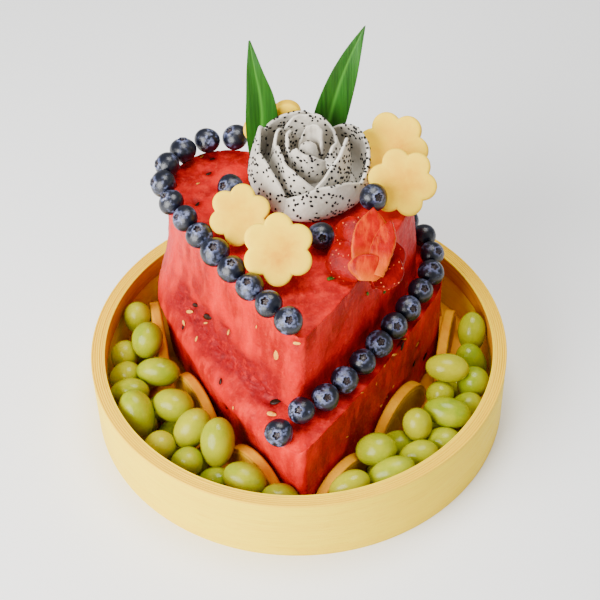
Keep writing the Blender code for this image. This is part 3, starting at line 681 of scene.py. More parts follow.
def flesh_finish():
    """Ripe red flesh, wet and a little clear, deeper where torn and round the seeds."""
    made, tree, shader = new_finish(
        "watermelon_flesh", 0.38, Subsurface_Weight=0.08, Subsurface_Scale=0.003,
        Subsurface_Radius=(1.0, 0.05, 0.05), Specular_IOR_Level=0.1)
    patches = streaks_in(tree, (46.0, 46.0, 30.0), 3.0, 0.40, 0.62)
    veins = streaks_in(tree, (150.0, 150.0, 46.0), 4.0, 0.47, 0.66)
    flecks = streaks_in(tree, 420.0, 2.0, 0.58, 0.75)
    cells = grain_in(tree, 520.0)
    torn = measured(tree, "torn")
    # Dark spots in the torn patch are painted shade, for the shade inside its holes.
    painted_hole_shade = math_of(tree, "MULTIPLY", torn, streaks_in(tree, 210.0, 3.0, 0.54, 0.64))
    specks = math_of(tree, "MULTIPLY", torn, streaks_in(tree, 340.0, 2.0, 0.54, 0.64))
    colour = layered(
        tree, mixed(tree, patches, (0.31, 0.0, 0.001), (0.58, 0.002, 0.002)),
        (veins, 0.0, 1.0, 0.0, 0.6, (0.72, 0.022, 0.012)),
        (flecks, 0.0, 1.0, 0.0, 0.25, (0.74, 0.08, 0.04)),
        (torn, 0.0, 0.6, 0.0, 0.95, (0.21, 0.0, 0.003)),
        (painted_hole_shade, 0.0, 1.0, 0.0, 0.8, (0.12, 0.0, 0.002)),
        (specks, 0.0, 1.0, 0.0, 0.35, (0.60, 0.010, 0.008)),
        (measured(tree, "seed_zone"), 0.05, 0.75, 0.0, 0.75, (0.20, 0.001, 0.002)))
    tree.links.new(colour, shader.inputs["Base Color"])
    tree.links.new(ranged(tree, cells, 0.2, 1.0, 0.55, 0.36), shader.inputs["Roughness"])
    bumped(tree, shader, cells, 0.35, 0.45)
    return made


flesh = flesh_finish()
cut_flesh = flesh_tree()

# Each seed is seen at a pixel of the photograph: x, y, length in mm and turn in degrees.
# The length is as it looks in the picture; a slanting face makes the seed longer.
DARK_SEEDS = ((193.5, 306, 5.0, -8), (205.5, 318, 7.6, -8), (180.5, 327, 3.4, 80),
              (218.5, 381, 4.0, 80), (225, 409, 4.0, 60), (274, 401.5, 7.0, 10),
              (209, 172, 4.0, 30), (197, 202, 3.8, 60), (213, 157, 3.4, 10),
              (402, 346, 5.4, 75), (427, 357, 6.0, 65), (416, 364, 5.2, 75))
PALE_SEEDS = ((188, 312, 4.4, 0), (182, 323, 3.6, -70), (195.5, 338, 3.4, 70),
              (203, 324, 2.4, 10), (225, 332, 3.4, 70), (273.5, 355, 9.0, 78),
              (271, 413, 5.4, -10), (232.5, 408, 2.2, 80), (198, 183, 2.4, 20),
              (202, 156, 2.4, 40), (404, 339, 3.4, 5), (394, 387, 2.2, 60),
              (390, 398, 2.2, -40), (382, 406, 2.4, 50), (377, 384, 2.0, 70),
              (363, 393, 1.6, 0), (348, 437, 1.6, 20), (395, 356, 3.0, 5),
              (419, 346, 3.4, 60), (385, 366, 2.0, 60), (295, 345, 4.4, 0),
              (256, 327, 2.0, 70))


def solid_tree(rings):
    """A closed skin over rings, for finding what is near it or seen on it."""
    return BVHTree.FromPolygons(*skin_over(rings))


heart_trees = {"lower": solid_tree(lower_rings), "upper": solid_tree(upper_rings)}


def seen_spot(pixel):
    """(heart, point, normal) where the sight line of a pixel meets the cake."""
    found = []
    for name, solid in heart_trees.items():
        point, normal, index, distance = solid.ray_cast(camera_place, sight_line(pixel))
        if point is not None:
            found.append((distance, name, point, normal))
    distance, name, point, normal = min(found)
    return name, point, normal if normal.dot(camera_back) > 0 else -normal


def on_face(normal, turn):
    """The way along a face that looks turned so, a unit long, from the camera."""
    angle = math.radians(turn)
    seen = camera_right * math.cos(angle) + camera_up * math.sin(angle)
    return seen - camera_back * seen.dot(normal) / max(0.2, normal.dot(camera_back))


def off_path(point, path):
    """How many pixels beside a path in the photograph the camera sees a point."""
    away = point - camera_place
    scale = PHOTO_SIDE * LENS / SENSOR / -away.dot(camera_back)
    seen = Vector((PHOTO_SIDE / 2 + away.dot(camera_right) * scale,
                   PHOTO_SIDE / 2 - away.dot(camera_up) * scale))
    gaps = []
    for start, end in zip(path, path[1:]):
        run = Vector(end) - Vector(start)
        share = max(0.0, min(1.0, (seen - Vector(start)).dot(run) / run.length_squared))
        gaps.append((Vector(start) + run * share - seen).length)
    return min(gaps)


TORN_PATH = ((184, 299), (206, 332), (237, 366), (276, 402))
TORN_SPREAD = 14.0
TORN_PATCHES = 0.09
TORN_RAGGEDNESS = 0.9
TORN_STRENGTH = 1.4
LONGEST_SEED = 10.5
SEED_SLACK = 1.2
SEED_ROUND = 14
SEED_RINGS = 10
HIDDEN_SEEDS = 46
HIDDEN_LEVELS = {"lower": (16, 58), "upper": (76, 120)}
HIDDEN_LENGTHS = {"dark": (4.5, 8.0), "pale": (2.6, 4.5)}
DARK_SHARE = 0.35
SMALLEST_PITTED = 4.2
seed_spots = []
for kind, rows in (("dark", DARK_SEEDS), ("pale", PALE_SEEDS)):
    for x, y, length, turn in rows:
        name, point, normal = seen_spot((x, y))
        along = on_face(normal, turn)
        true_length = min(LONGEST_SEED, SEED_SLACK * length * along.length)
        seed_spots.append((kind, name, point, normal, along, true_length, length))
# The sides that the photograph doesn't show carry seeds of the same kinds.
dice = random.Random(12)
for k in range(HIDDEN_SEEDS):
    name = "lower" if k % 2 else "upper"
    outline = lower_outline if name == "lower" else top_outline
    i = dice.randrange(len(outline))
    level = dice.uniform(*HIDDEN_LEVELS[name])
    outward = outward_at(outline, i).to_3d()
    start = outline[i].to_3d() + outward * 30 + Vector((0, 0, level))
    point, normal, index, distance = heart_trees[name].ray_cast(start, -outward, 60)
    if point is None or outward.dot(camera_back) > 0.1:
        continue
    kind = "dark" if dice.random() < DARK_SHARE else "pale"
    along = Vector((dice.uniform(-0.5, 0.5), dice.uniform(-0.5, 0.5), 1.0))
    length = dice.uniform(*HIDDEN_LENGTHS[kind])
    seed_spots.append((kind, name, point, outward, along, length, length))

for name, rings, node in (("lower", lower_rings, "watermelon_lower"),
                          ("upper", upper_rings, "watermelon_upper")):
    marks = bpy.data.meshes.new(name + "_marks")
    marks.from_pydata([spot[2] * MM for spot in seed_spots
                       if spot[1] == name and (spot[0] == "dark" or spot[5] > SMALLEST_PITTED)],
                      [], [])
    markers = add_object(name + "_marks", marks)
    points, faces = skin_over(rings)
    # A patch across the left wall is torn rather than cut, so its wet cells show.
    torn_band = []
    for p in points:
        ragged = TORN_SPREAD * (1 + TORN_RAGGEDNESS * noise.noise(p * TORN_PATCHES))
        band = math.exp(-(off_path(p, TORN_PATH) / ragged) ** 2)
        torn_band.append(min(1.0, TORN_STRENGTH * leftness(p)) * band)
    base = make_piece(name + "_base", points, faces, None, {"torn": torn_band})
    cut = grown("melon_heart_" + name, base, cut_flesh, {
        "Seeds": markers, "Wave Depth": 0.55 * MM, "Grain Depth": 0.5 * MM,
        "Pit Depth": 1.5 * MM, "Pit Reach": 5.5 * MM, "Torn Depth": 1.6 * MM,
        "Finish": flesh})
    cut.data.shade_smooth()
    bpy.data.objects.remove(markers, do_unlink=True)
    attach(cut, "root")
    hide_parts(node)
    heart_trees[name] = BVHTree.FromPolygons([v.co / MM for v in cut.data.vertices],
                                             [p.vertices for p in cut.data.polygons])


def seed_shape():
    """A flat drop one unit long, with its pointed end at -x."""
    stack = []
    for r in range(1, SEED_RINGS):
        t = r / SEED_RINGS
        wide = 0.25 * math.sin(math.pi * t ** 0.8) ** 0.75
        stack.append([Vector((t - 0.5, wide * math.cos(angle), 0.45 * wide * math.sin(angle)))
                      for angle in angles_round(SEED_ROUND)])
    return skin_over(stack)


def seed_finish(name, dark, light, roughness):
    """A dry matt coat in two shades, for seeds, pips and bits of leaf."""
    made, tree, shader = new_finish(name, roughness, Specular_IOR_Level=0.1)
    cloud = streaks_in(tree, 500.0, 2.0, 0.35, 0.7)
    tree.links.new(mixed(tree, cloud, dark, light), shader.inputs["Base Color"])
    bumped(tree, shader, cloud, 0.1, 0.4)
    return made


seed_finishes = {
    "dark": seed_finish("ripe_seed", (0.006, 0.002, 0.001), (0.030, 0.008, 0.003), 0.3),
    "pale": seed_finish("pale_seed", (0.56, 0.16, 0.012), (0.72, 0.36, 0.05), 0.45)}
seed_points, seed_faces = seed_shape()
SEED_RISE = 0.05


def laid_seeds(places):
    """Points and faces of seeds; each place is a centre, the way along, the way up, a
    length, and a width that sets the depth too."""
    points = []
    faces = []
    for centre, lengthwise, normal, length, width in places:
        across = normal.cross(lengthwise)
        turn = Matrix((lengthwise * length, across * width, normal * width)).transposed()
        faces += [tuple(len(points) + v for v in face) for face in seed_faces]
        points += [centre + turn @ p for p in seed_points]
    return points, faces


for kind in ("dark", "pale"):
    places = []
    for spot_kind, name, point, normal, along, length, seen_length in seed_spots:
        if spot_kind == kind:
            on = heart_trees[name].find_nearest(point)[0]
            lengthwise = (along - normal * along.dot(normal)).normalized()
            places.append((on + normal * SEED_RISE * seen_length, lengthwise, normal, length,
                           seen_length))
    seeds = make_piece(kind + "_seeds", *laid_seeds(places), seed_finishes[kind])
    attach(seeds, "root")

# ---- blueberries ------------------------------------------------------------
# Fresh blueberries set close together in rows, with a few loose ones on top. Each
# is a slightly flat ball with a waxy bloom and a star-shaped crown round a hollow.
berry_nodes = sorted(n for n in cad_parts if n.startswith("blueberry"))
BERRY_ROUND = 40
LIP_RADIUS = 0.29
LIP_HEIGHT = 0.085
HOLLOW_DEPTH = 0.17


def berry_shape():
    """A unit blueberry, its crown at +z, and how near each point is to the crown."""
    tilts = [-80, -68, -56, -44, -32, -20, -9, 2, 13, 24, 34, 43, 51, 57, 61, 64.5, 67.5, 70,
             72.5, 75, 77.5, 80, 83, 86.5]
    rings = []
    crown = []
    for tilt in tilts:
        t = math.radians(tilt)
        ring = []
        for angle in angles_round(BERRY_ROUND):
            radius = math.cos(t)
            lobe = abs(math.cos(2.5 * angle))
            lip = LIP_RADIUS * (0.82 + 0.34 * lobe)
            height = -0.03 + 0.87 * math.sin(t)
            height += LIP_HEIGHT * math.exp(-((radius - lip) / 0.07) ** 2)
            inside = max(0.0, min(1.0, (lip - radius) / 0.12))
            height -= HOLLOW_DEPTH * inside * inside * (3 - 2 * inside)
            bulge = 1 + 0.018 * math.cos(3 * angle + 1.0) * math.cos(t)
            ring.append(Vector((radius * bulge * math.cos(angle),
                                radius * bulge * math.sin(angle), height)))
            crown.append(inside if radius < lip else
                         0.0 if tilt < 40 else -math.exp(-((radius - lip) / 0.1) ** 2))
        rings.append(ring)
    points, faces = skin_over(rings)
    return points, faces, crown + [0.0, 1.0]


def spun(tree, turn, seed):
    """A rotation, then a turn about its own z that is drawn from the seed."""
    about = add_node(tree, "FunctionNodeAxisAngleToRotation",
                     {"Axis": (0.0, 0.0, 1.0), "Angle": chance_in(tree, seed, 0.0, 2 * math.pi)})
    return add_node(tree, "FunctionNodeRotateRotation", {0: turn, 1: about},
                    rotation_space="LOCAL")


def scatter_tree():
    """One shape at every point of the base, turned, stretched and toned by its own values."""
    tree, given, result = new_tree(
        "placed_copies", "GeometryNodeTree",
        {"Geometry": "Geometry", "Shape": "Object", "Seed": "Int", "Finish": "Material"},
        {"Geometry": "Geometry"})
    inputs = given.outputs
    shape = add_node(tree, "GeometryNodeObjectInfo", {"Object": inputs["Shape"]})
    turn = add_node(tree, "FunctionNodeAlignRotationToVector",
                    {"Vector": stored(tree, "heading", "FLOAT_VECTOR")}, axis="Z")
    copies = add_node(tree, "GeometryNodeInstanceOnPoints",
                      {"Points": inputs["Geometry"], "Instance": shape.outputs["Geometry"],
                       "Rotation": spun(tree, turn, inputs["Seed"]),
                       "Scale": stored(tree, "stretch", "FLOAT_VECTOR")})
    return ended(tree, result, toned(tree, copies, inputs["Seed"]), inputs["Finish"])


scattering = scatter_tree()


def place_copies(name, shape, spots, finish, seed):
    """Copies of a unit shape; each spot is (centre, heading of its z, stretch) in mm."""
    base_mesh = bpy.data.meshes.new(name + "_spots")
    base_mesh.from_pydata([Vector(spot[0]) * MM for spot in spots], [], [])
    for column, label, factor in ((1, "heading", 1.0), (2, "stretch", MM)):
        values = [value * factor for spot in spots for value in spot[column]]
        base_mesh.attributes.new(label, "FLOAT_VECTOR", "POINT").data.foreach_set(
            "vector", values)
    made = grown(name, add_object(name + "_spots", base_mesh), scattering, {
        "Shape": shape, "Seed": seed, "Finish": finish})
    bpy.data.objects.remove(shape, do_unlink=True)
    made.data.shade_smooth()
    return made


def unit_object(name, points, faces, measures=None):
    """A shape one unit across, to be copied; a unit is a metre until it is stretched."""
    return make_piece(name, [Vector(p) / MM for p in points], faces, None, measures)


def berry_finish():
    """Near-black blue skin under a pale waxy bloom that is rubbed off in places."""
    made, tree, shader = new_finish("blueberry_skin", 0.42, Specular_IOR_Level=0.5)
    cloud = streaks_in(tree, 110.0, 4.0, 0.50, 0.60)
    scuffs = streaks_in(tree, 460.0, 3.0, 0.44, 0.58)
    crown = measured(tree, "crown")
    bloom = math_of(tree, "MULTIPLY", math_of(tree, "MULTIPLY", cloud, scuffs),
                    ranged(tree, measured(tree, "tone"), 0.0, 1.0, 0.3, 0.9))
    bloomed = add_node(tree, "ShaderNodeMath",
                       {0: bloom, 1: ranged(tree, crown, 0.0, -0.6, 0.0, 0.35)},
                       operation="ADD", use_clamp=True)
    colour = layered(
        tree, mixed(tree, bloomed, (0.002, 0.003, 0.009), (0.155, 0.180, 0.33)),
        (crown, -0.1, -1.0, 0.0, 0.45, (0.13, 0.15, 0.30)),
        (crown, 0.25, 0.9, 0.0, 0.9, (0.030, 0.014, 0.011)))
    tree.links.new(colour, shader.inputs["Base Color"])
    tree.links.new(ranged(tree, bloom, 0.0, 0.8, 0.32, 0.7), shader.inputs["Roughness"])
    bumped(tree, shader, scuffs, 0.12, 0.35)
    return made


berry_points, berry_faces, berry_crown = berry_shape()
berry = unit_object("one_berry", berry_points, berry_faces, {"crown": berry_crown})
# Each crown as seen: pixel x and y of the berry, then how far the crown sits right and
# up of its middle, in berry radii. A last value of -1 turns the crown away.
CROWNS = ((287, 328, 0.05, 0.05, 1), (270, 305, -0.3, 0.2, 1), (247, 290, -0.2, 0.4, 1),
          (228, 269, 0.0, 0.5, 1), (210, 253, -0.1, 0.35, 1), (198, 233, -0.1, 0.5, 1),
          (179, 211, -0.7, 0.1, 1), (170, 195, -0.6, 0.5, 1), (168, 173, -0.85, 0.1, 1),
          (175, 154, 0.0, 0.85, 1), (198, 142, 0.2, 0.7, -1), (224, 138, -0.2, 0.6, -1),
          (242, 137, -0.5, 0.5, 1), (280, 439, -0.15, -0.15, 1), (302, 414, -0.25, 0.1, 1),
          (324, 394, 0.15, 0.05, 1), (344, 376, 0.15, -0.05, 1), (364, 360, 0.0, 0.4, 1),
          (381, 341, 0.1, 0.2, 1), (395, 326, 0.2, 0.0, 1), (413, 310, 0.4, 0.0, 1),
          (423, 293, 0.3, 0.2, 1), (436, 273, 0.2, 0.5, 1), (431, 251, 0.5, 0.2, 1),
          (425, 234, 0.4, 0.5, -1))
NEAR_CROWN = 9.0
dice = random.Random(21)
berry_spots = []
for node in berry_nodes:
    low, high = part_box(node)
    centre = (low + high) / 2 / MM
    radius = max(high - low) / 2 / MM
    off_line = [((centre - camera_place).cross(sight_line(row[:2])).length, row)
                for row in CROWNS]
    miss, (x, y, right, up, side) = min(off_line)
    if miss > NEAR_CROWN:
        right, up, side = dice.uniform(-0.6, 0.6), dice.uniform(-0.3, 0.7), 1
    ahead = side * math.sqrt(max(0.05, 1 - right ** 2 - up ** 2))
    crown_way = camera_right * right + camera_up * up + camera_back * ahead
    berry_spots.append((centre, crown_way, (radius, radius, radius)))
berries = place_copies("blueberries", berry, berry_spots, berry_finish(), seed=5)
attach(berries, "root")
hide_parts(*berry_nodes)

# ---- orange slices ----------------------------------------------------------
# Half slices of unpeeled orange, about seven millimetres thick. They stand on
# their cut edges against the lower heart, with the peel up, held by the grapes.
slice_nodes = sorted(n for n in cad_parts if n.startswith("orange_slice"))
PEEL = 1.3
PITH = 3.0
SEGMENTS = 5
SLICE_ROUND = 60
CHORD_STEPS = 26
# The rings shrink towards this point, in slice radii from the middle of the foot.
SLICE_FOCUS = Vector((0.0, 0.40))
WELL_INSIDE = 9.0
# The pulp lies lower than the pith and swells again between the walls, all in mm.
CUT_SUNK = 0.55
PULP_BULGE = 0.45
PULP_EASE = 1.4
WALL_EASE = 1.1


def slice_place(node):
    """Foot centre, way along the foot, outward way, radius and thickness of a slice."""
    points = [v.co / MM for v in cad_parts[node].data.vertices]
    foot_level = min(p.z for p in points)
    foot = {(round(p.x, 2), round(p.y, 2)) for p in points if p.z < foot_level + 0.1}
    foot = [Vector(p) for p in foot]
    centre = sum(foot, Vector((0.0, 0.0))) / len(foot)
    sxx = sum((p.x - centre.x) ** 2 for p in foot)
    syy = sum((p.y - centre.y) ** 2 for p in foot)
    sxy = sum((p.x - centre.x) * (p.y - centre.y) for p in foot)
    angle = 0.5 * math.atan2(2 * sxy, sxx - syy)
    along = Vector((math.cos(angle), math.sin(angle)))
    outward = Vector((along.y, -along.x))
    if outward.dot(centre) < 0:
        outward = -outward
    radius = max(abs((p - centre).dot(along)) for p in foot)
    thickness = 2 * max(abs((p - centre).dot(outward)) for p in foot)
    return centre, foot_level, along, outward, radius, thickness


def slice_shape(radius, thickness, seed):
    """Rings round a half disc, from one cut face over the peel to the other.

    A point is (along the foot, up, out); with it go the distances in from the peel
    and from the nearest membrane.
    """
    draw = random.Random(seed)
    walls = [math.pi * k / SEGMENTS + draw.uniform(-0.08, 0.08) for k in range(1, SEGMENTS)]
    rim = [(math.cos(math.pi * i / SLICE_ROUND), math.sin(math.pi * i / SLICE_ROUND))
           for i in range(SLICE_ROUND + 1)]
    rim += [(-1 + 2 * k / CHORD_STEPS, 0.0) for k in range(1, CHORD_STEPS)]
    half = thickness / 2
    faces_in = [(s, 1.0) for s in (0.06, 0.14, 0.22, 0.3, 0.38, 0.46, 0.54, 0.62, 0.69, 0.76,
                                   0.82, 0.87, 0.905, 0.935, 0.96, 0.98)]
    edge = [(0.992, 0.93), (0.999, 0.78), (1.0, 0.45), (1.0, 0.0)]
    stack = [(s, -d) for s, d in faces_in + edge]
    stack += [(s, d) for s, d in reversed(faces_in + edge[:-1])]
    rings = []
    peel = []
    membrane = []
    for share, depth in stack:
        ring = []
        for x, y in rim:
            spot = SLICE_FOCUS.lerp(Vector((x, y)), share) * radius
            reach = spot.length
            turn = math.atan2(max(0.0, spot.y), spot.x)
            inward = radius - reach
            off_wall = min(abs(turn - wall) for wall in walls) * reach
            pulp = max(0.0, min(1.0, (inward - PITH) / PULP_EASE)) * max(0.0, min(1.0, spot.y))
            bulge = PULP_BULGE * pulp * (1 - math.exp(-off_wall / WALL_EASE))
            sunk = CUT_SUNK if abs(depth) > 0.9 else 0.0
            bend = 0.35 * math.sin(turn * 3 + seed)
            out = depth * half - math.copysign(sunk - bulge, depth) * (abs(depth) > 0.9)
            ring.append((spot.x, spot.y, out + bend * 0.3))
            peel.append(inward)
            membrane.append(off_wall)
        rings.append(ring)
    points, faces = skin_over(rings)
    return points, faces, peel + [WELL_INSIDE] * 2, membrane + [WELL_INSIDE] * 2


def orange_finish():
    """Orange zest with pores, cream pith and wet pulp in walled segments."""
    made, tree, shader = new_finish("orange_slice", 0.6, Specular_IOR_Level=0.06)
    cloud = streaks_in(tree, 60.0, 3.0, 0.35, 0.65)
    inward = measured(tree, "peel")
    zest = mixed(tree, cloud, (0.62, 0.21, 0.0), (0.74, 0.33, 0.0))
    colour = layered(
        tree, mixed(tree, cloud, (0.52, 0.20, 0.001), (0.62, 0.29, 0.002)),
        (measured(tree, "membrane"), 0.25, 0.7, 0.85, 0.0, (0.66, 0.40, 0.010)),
        (inward, PITH - 0.6, PITH + 0.3, 1.0, 0.0, (0.90, 0.46, 0.010)),
        (inward, PEEL - 0.5, PEEL + 0.2, 1.0, 0.0, zest))
    tree.links.new(colour, shader.inputs["Base Color"])
    bumped(tree, shader, grain_in(tree, 620.0), 0.35, 0.4)
    return made


orange = orange_finish()
slice_solids = []
for number, node in enumerate(slice_nodes):
    centre, foot_level, along, outward, radius, thickness = slice_place(node)
    local, faces, peel, membrane = slice_shape(radius, thickness, number)
    up = Vector((0, 0, 1))
    points = [centre.to_3d() + up * (foot_level + y) + along.to_3d() * x + outward.to_3d() * out
              for x, y, out in local]
    slice_solids.append(BVHTree.FromPolygons(points, faces))
    piece = make_piece(node + "_fruit", points, faces, orange,
                       {"peel": peel, "membrane": membrane})
    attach(piece, "root")
    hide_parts(node)

# ---- grapes -----------------------------------------------------------------
# Seedless green grapes off their stalks, heaped between the slices and the dish.
# Their taut skin is clear and shiny, with a brown scar where the stalk was.
# Each showing grape: pixel x and y, height of its centre, turn of its axis in the
# picture, share of the axis that points at the camera, half length and radius.
LEFT_GRAPES = (
    (138.5, 317.0, 31, 80, 0.6, 10.5, 8.6), (144.0, 343.0, 34, 80, 0.2, 11.4, 9.6),
    (119.5, 356.0, 30, 80, 0.4, 10.4, 8.6), (153.5, 375.0, 35, -3, 0.1, 13.2, 8.8),
    (125.0, 376.0, 25, 30, 0.5, 11.0, 8.8), (128.5, 390.0, 29, 5, 0.2, 12.0, 8.6),
    (138.0, 414.0, 33, 108, 0.1, 14.6, 10.4), (169.5, 406.0, 35, -12, 0.2, 12.6, 10.0),
    (161.0, 449.0, 28, 40, 0.5, 10.8, 9.3), (186.0, 432.0, 35, 52, 0.1, 13.2, 9.8),
    (215.0, 448.0, 36, 86, 0.1, 14.6, 10.0), (189.0, 464.0, 28, 20, 0.5, 10.0, 8.8),
    (243.5, 480.5, 32, -24, 0.1, 12.8, 9.8), (216.0, 478.0, 25, 10, 0.4, 11.0, 9.0))
RIGHT_GRAPES = (
    (473.7, 335.0, 33, 88, 0.1, 12.6, 8.6), (469.5, 362.0, 27, 110, 0.3, 11.5, 8.8),
    (448.8, 373.0, 40, -6, 0.1, 13.0, 8.6), (442.4, 391.5, 33, 30, 0.6, 8.8, 8.0),
    (478.5, 387.5, 32, 62, 0.5, 10.8, 9.4), (446.3, 415.0, 35, -12, 0.1, 14.0, 8.8),
    (464.5, 406.5, 28, 40, 0.4, 11.5, 8.8), (420.8, 428.0, 33, 100, 0.3, 10.0, 8.6),
    (440.5, 438.5, 30, 8, 0.3, 11.0, 8.6), (400.0, 443.0, 26, 10, 0.4, 11.0, 8.6),
    (376.0, 457.5, 34, 8, 0.3, 12.0, 9.8), (417.5, 455.0, 31, 18, 0.1, 11.8, 8.4),
    (391.0, 472.5, 33, 22, 0.1, 14.2, 8.6), (347.5, 484.0, 32, 28, 0.1, 12.4, 8.6))
GRAPE_ROUND = 28
LINING_GAP = 0.4
SETTLING_STEPS = 130
SIDEWAYS_GIVE = 0.5
HOME_PULL = 0.08
LOWER_GRAPES = 10
LOWER_RINGS = (104.0, 90.0)
LOWER_HEIGHT = 14.5
LOWER_SIZE = (8.6, 8.6, 11.0)


def grape_shape():
    """A unit grape with a slightly fuller lower half and a scar at its -z end."""
    rings = []
    scar = []
    for tilt in (-86.5, -84, -81.5, -78.5, -74, -67, -58, -48, -37, -25, -12, 0, 12, 25, 37,
                 48, 58, 67, 75, 82):
        t = math.radians(tilt)
        radius = math.cos(t) * (1 + 0.05 * math.sin(2 * t)) * (1 - 0.04 * math.sin(t))
        dip = 0.05 * math.exp(-(radius / 0.09) ** 2) if tilt < 0 else 0.0
        ring = []
        for angle in angles_round(GRAPE_ROUND):
            side = 1 + 0.012 * math.cos(3 * angle)
            ring.append((radius * side * math.cos(angle), radius * side * math.sin(angle),
                         math.sin(t) + dip))
            scar.append(math.exp(-(radius / 0.15) ** 2) if tilt < 0 else 0.0)
        rings.append(ring)
    points, faces = skin_over(rings)
    points[-2].z += 0.05
    return points, faces, scar + [1.0, 0.0]


def grape_finish():
    """Pale green skin over clear flesh, with faint veins and a brown scar."""
    made, tree, shader = new_finish(
        "grape_skin", 0.26, Subsurface_Weight=0.25, Subsurface_Scale=0.004,
        Subsurface_Radius=(0.9, 1.0, 0.02), Specular_IOR_Level=0.22)
    cloud = streaks_in(tree, 70.0, 2.0, 0.35, 0.68)
    veins = streaks_in(tree, 320.0, 4.0, 0.5, 0.75)
    colour = layered(
        tree, mixed(tree, cloud, (0.18, 0.25, 0.0), (0.31, 0.34, 0.0)),
        (measured(tree, "tone"), 0.0, 1.0, 0.0, 0.6, (0.45, 0.38, 0.0)),
        (veins, 0.0, 1.0, 0.0, 0.3, (0.47, 0.45, 0.002)),
        (measured(tree, "scar"), 0.25, 0.8, 0.0, 0.9, (0.13, 0.05, 0.010)))
    tree.links.new(colour, shader.inputs["Base Color"])
    tree.links.new(ranged(tree, cloud, 0.0, 1.0, 0.16, 0.32), shader.inputs["Roughness"])
    bumped(tree, shader, veins, 0.08, 0.25)
    return made


def at_height(pixel, height):
    """The point at a height that the camera sees at a pixel."""
    way = sight_line(pixel)
    return camera_place + way * ((height - camera_place.z) / way.z)


def grape_spot(x, y, height, turn, towards, half_length, radius):
    """Centre, axis and stretch of a grape that is seen at a pixel."""
    angle = math.radians(turn)
    level = math.sqrt(1 - towards ** 2)
    axis = ((camera_right * math.cos(angle) + camera_up * math.sin(angle)) * level
            + camera_back * towards)
    return at_height((x, y), height), axis, (radius, radius, half_length)


def reach_of(spot, way):
    """How far a grape reaches from its centre in a direction."""
    along = min(1.0, abs(spot[1].normalized().dot(way)))
    return math.hypot(spot[2][2] * along, spot[2][0] * math.sqrt(1 - along * along))


def settled(spots, shown, solids):
    """Grapes moved off each other, the cake and the slices, and kept inside the dish.

    The first ones, which show, are held to where the photograph has them, and mostly
    give way along the line of sight.
    """
    homes = [spot[0].copy() for spot in spots]
    for attempt in range(SETTLING_STEPS):
        pushes = [Vector() for spot in spots]
        for i, spot in enumerate(spots):
            for j in range(i):
                apart = spot[0] - spots[j][0]
                way = apart.normalized()
                short = reach_of(spot, way) + reach_of(spots[j], way) - apart.length
                if short > 0:
                    pushes[i] += way * short * 0.5
                    pushes[j] -= way * short * 0.5
            outward = Vector((spot[0].x, spot[0].y, 0.0)).normalized()
            for solid in solids:
                near, normal, index, distance = solid.find_nearest(spot[0])
                way = (spot[0] - near).normalized()
                if way.dot(outward) < 0:
                    way, distance = -way, -distance
                short = reach_of(spot, way) - distance
                if short > 0:
                    pushes[i] += way * short
        for i, spot in enumerate(spots):
            push = pushes[i]
            if i < shown:
                sight = (spot[0] - camera_place).normalized()
                along = sight * push.dot(sight)
                push = along + (push - along) * SIDEWAYS_GIVE + (homes[i] - spot[0]) * HOME_PULL
            spot[0].xyz = spot[0] + push * 0.5
            outward = Vector((spot[0].x, spot[0].y, 0.0)).normalized()
            over = spot[0].dot(outward) + reach_of(spot, outward)
            over -= DISH_RADIUS - WALL - LINING_GAP
            if over > 0:
                spot[0].xyz = spot[0] - outward * over
            lowest = FLOOR_THICKNESS + LINING_GAP + reach_of(spot, Vector((0, 0, 1)))
            spot[0].z = max(spot[0].z, lowest)
    return spots


grape_skin = grape_finish()
for name, rows, first, last, seed in (("grapes_left", LEFT_GRAPES, 166.0, 250.0, 4),
                                      ("grapes_right", RIGHT_GRAPES, 4.0, -78.0, 9)):
    spots = [grape_spot(*row) for row in rows]
    dice = random.Random(seed)
    for k in range(LOWER_GRAPES):
        angle = math.radians(first + (last - first) * (k + 0.5) / LOWER_GRAPES)
        radius = LOWER_RINGS[k % 2]
        centre = Vector((radius * math.cos(angle), radius * math.sin(angle), LOWER_HEIGHT))
        axis = Vector((dice.uniform(-1, 1), dice.uniform(-1, 1), dice.uniform(-0.2, 0.2)))
        spots.append((centre, axis, LOWER_SIZE))
    spots = settled(spots, len(rows), slice_solids + [heart_trees["lower"]])
    points, faces, scar = grape_shape()
    grapes = place_copies(name + "_fruit", unit_object("one_grape", points, faces,
                                                       {"scar": scar}),
                          spots, grape_skin, seed)
    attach(grapes, "root")
    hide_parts(name)

# ---- melon flowers ----------------------------------------------------------
# Slices of pale cantaloupe, pressed out with a six-petalled cutter and leaned
# among the berries. The wet cut edges have softened and the faces are smooth.
# Each flower: centre, radius, the way it faces and its turn in degrees.
FLOWERS = {
    "melon_flower_front_left": ((-31.0, 6.4, 141.9), 17.7, (0, -0.7, 0.7), 20),
    "melon_flower_front": ((-9.7, -26.0, 145.0), 20.2, (0, -0.7, 0.7), 28),
    "melon_flower_right": ((61.9, 31.0, 142.0), 20.0, (-0.1, -0.7, 0.7), -16),
    "melon_flower_back_right": ((58.4, 61.4, 143.4), 21.0, (-0.2, -0.67, 0.7), 42),
    "melon_flower_back": ((-9.0, 76.2, 147.8), 20.5, (0, -1.0, 0.02), 2)}
MELON_THICKNESS = 7.0
FLOWER_ROUND = 150
# Each of the six lobes is part of a circle: its centre and radius in flower radii.
LOBE_CENTRE = 0.6
LOBE_RADIUS = 0.4


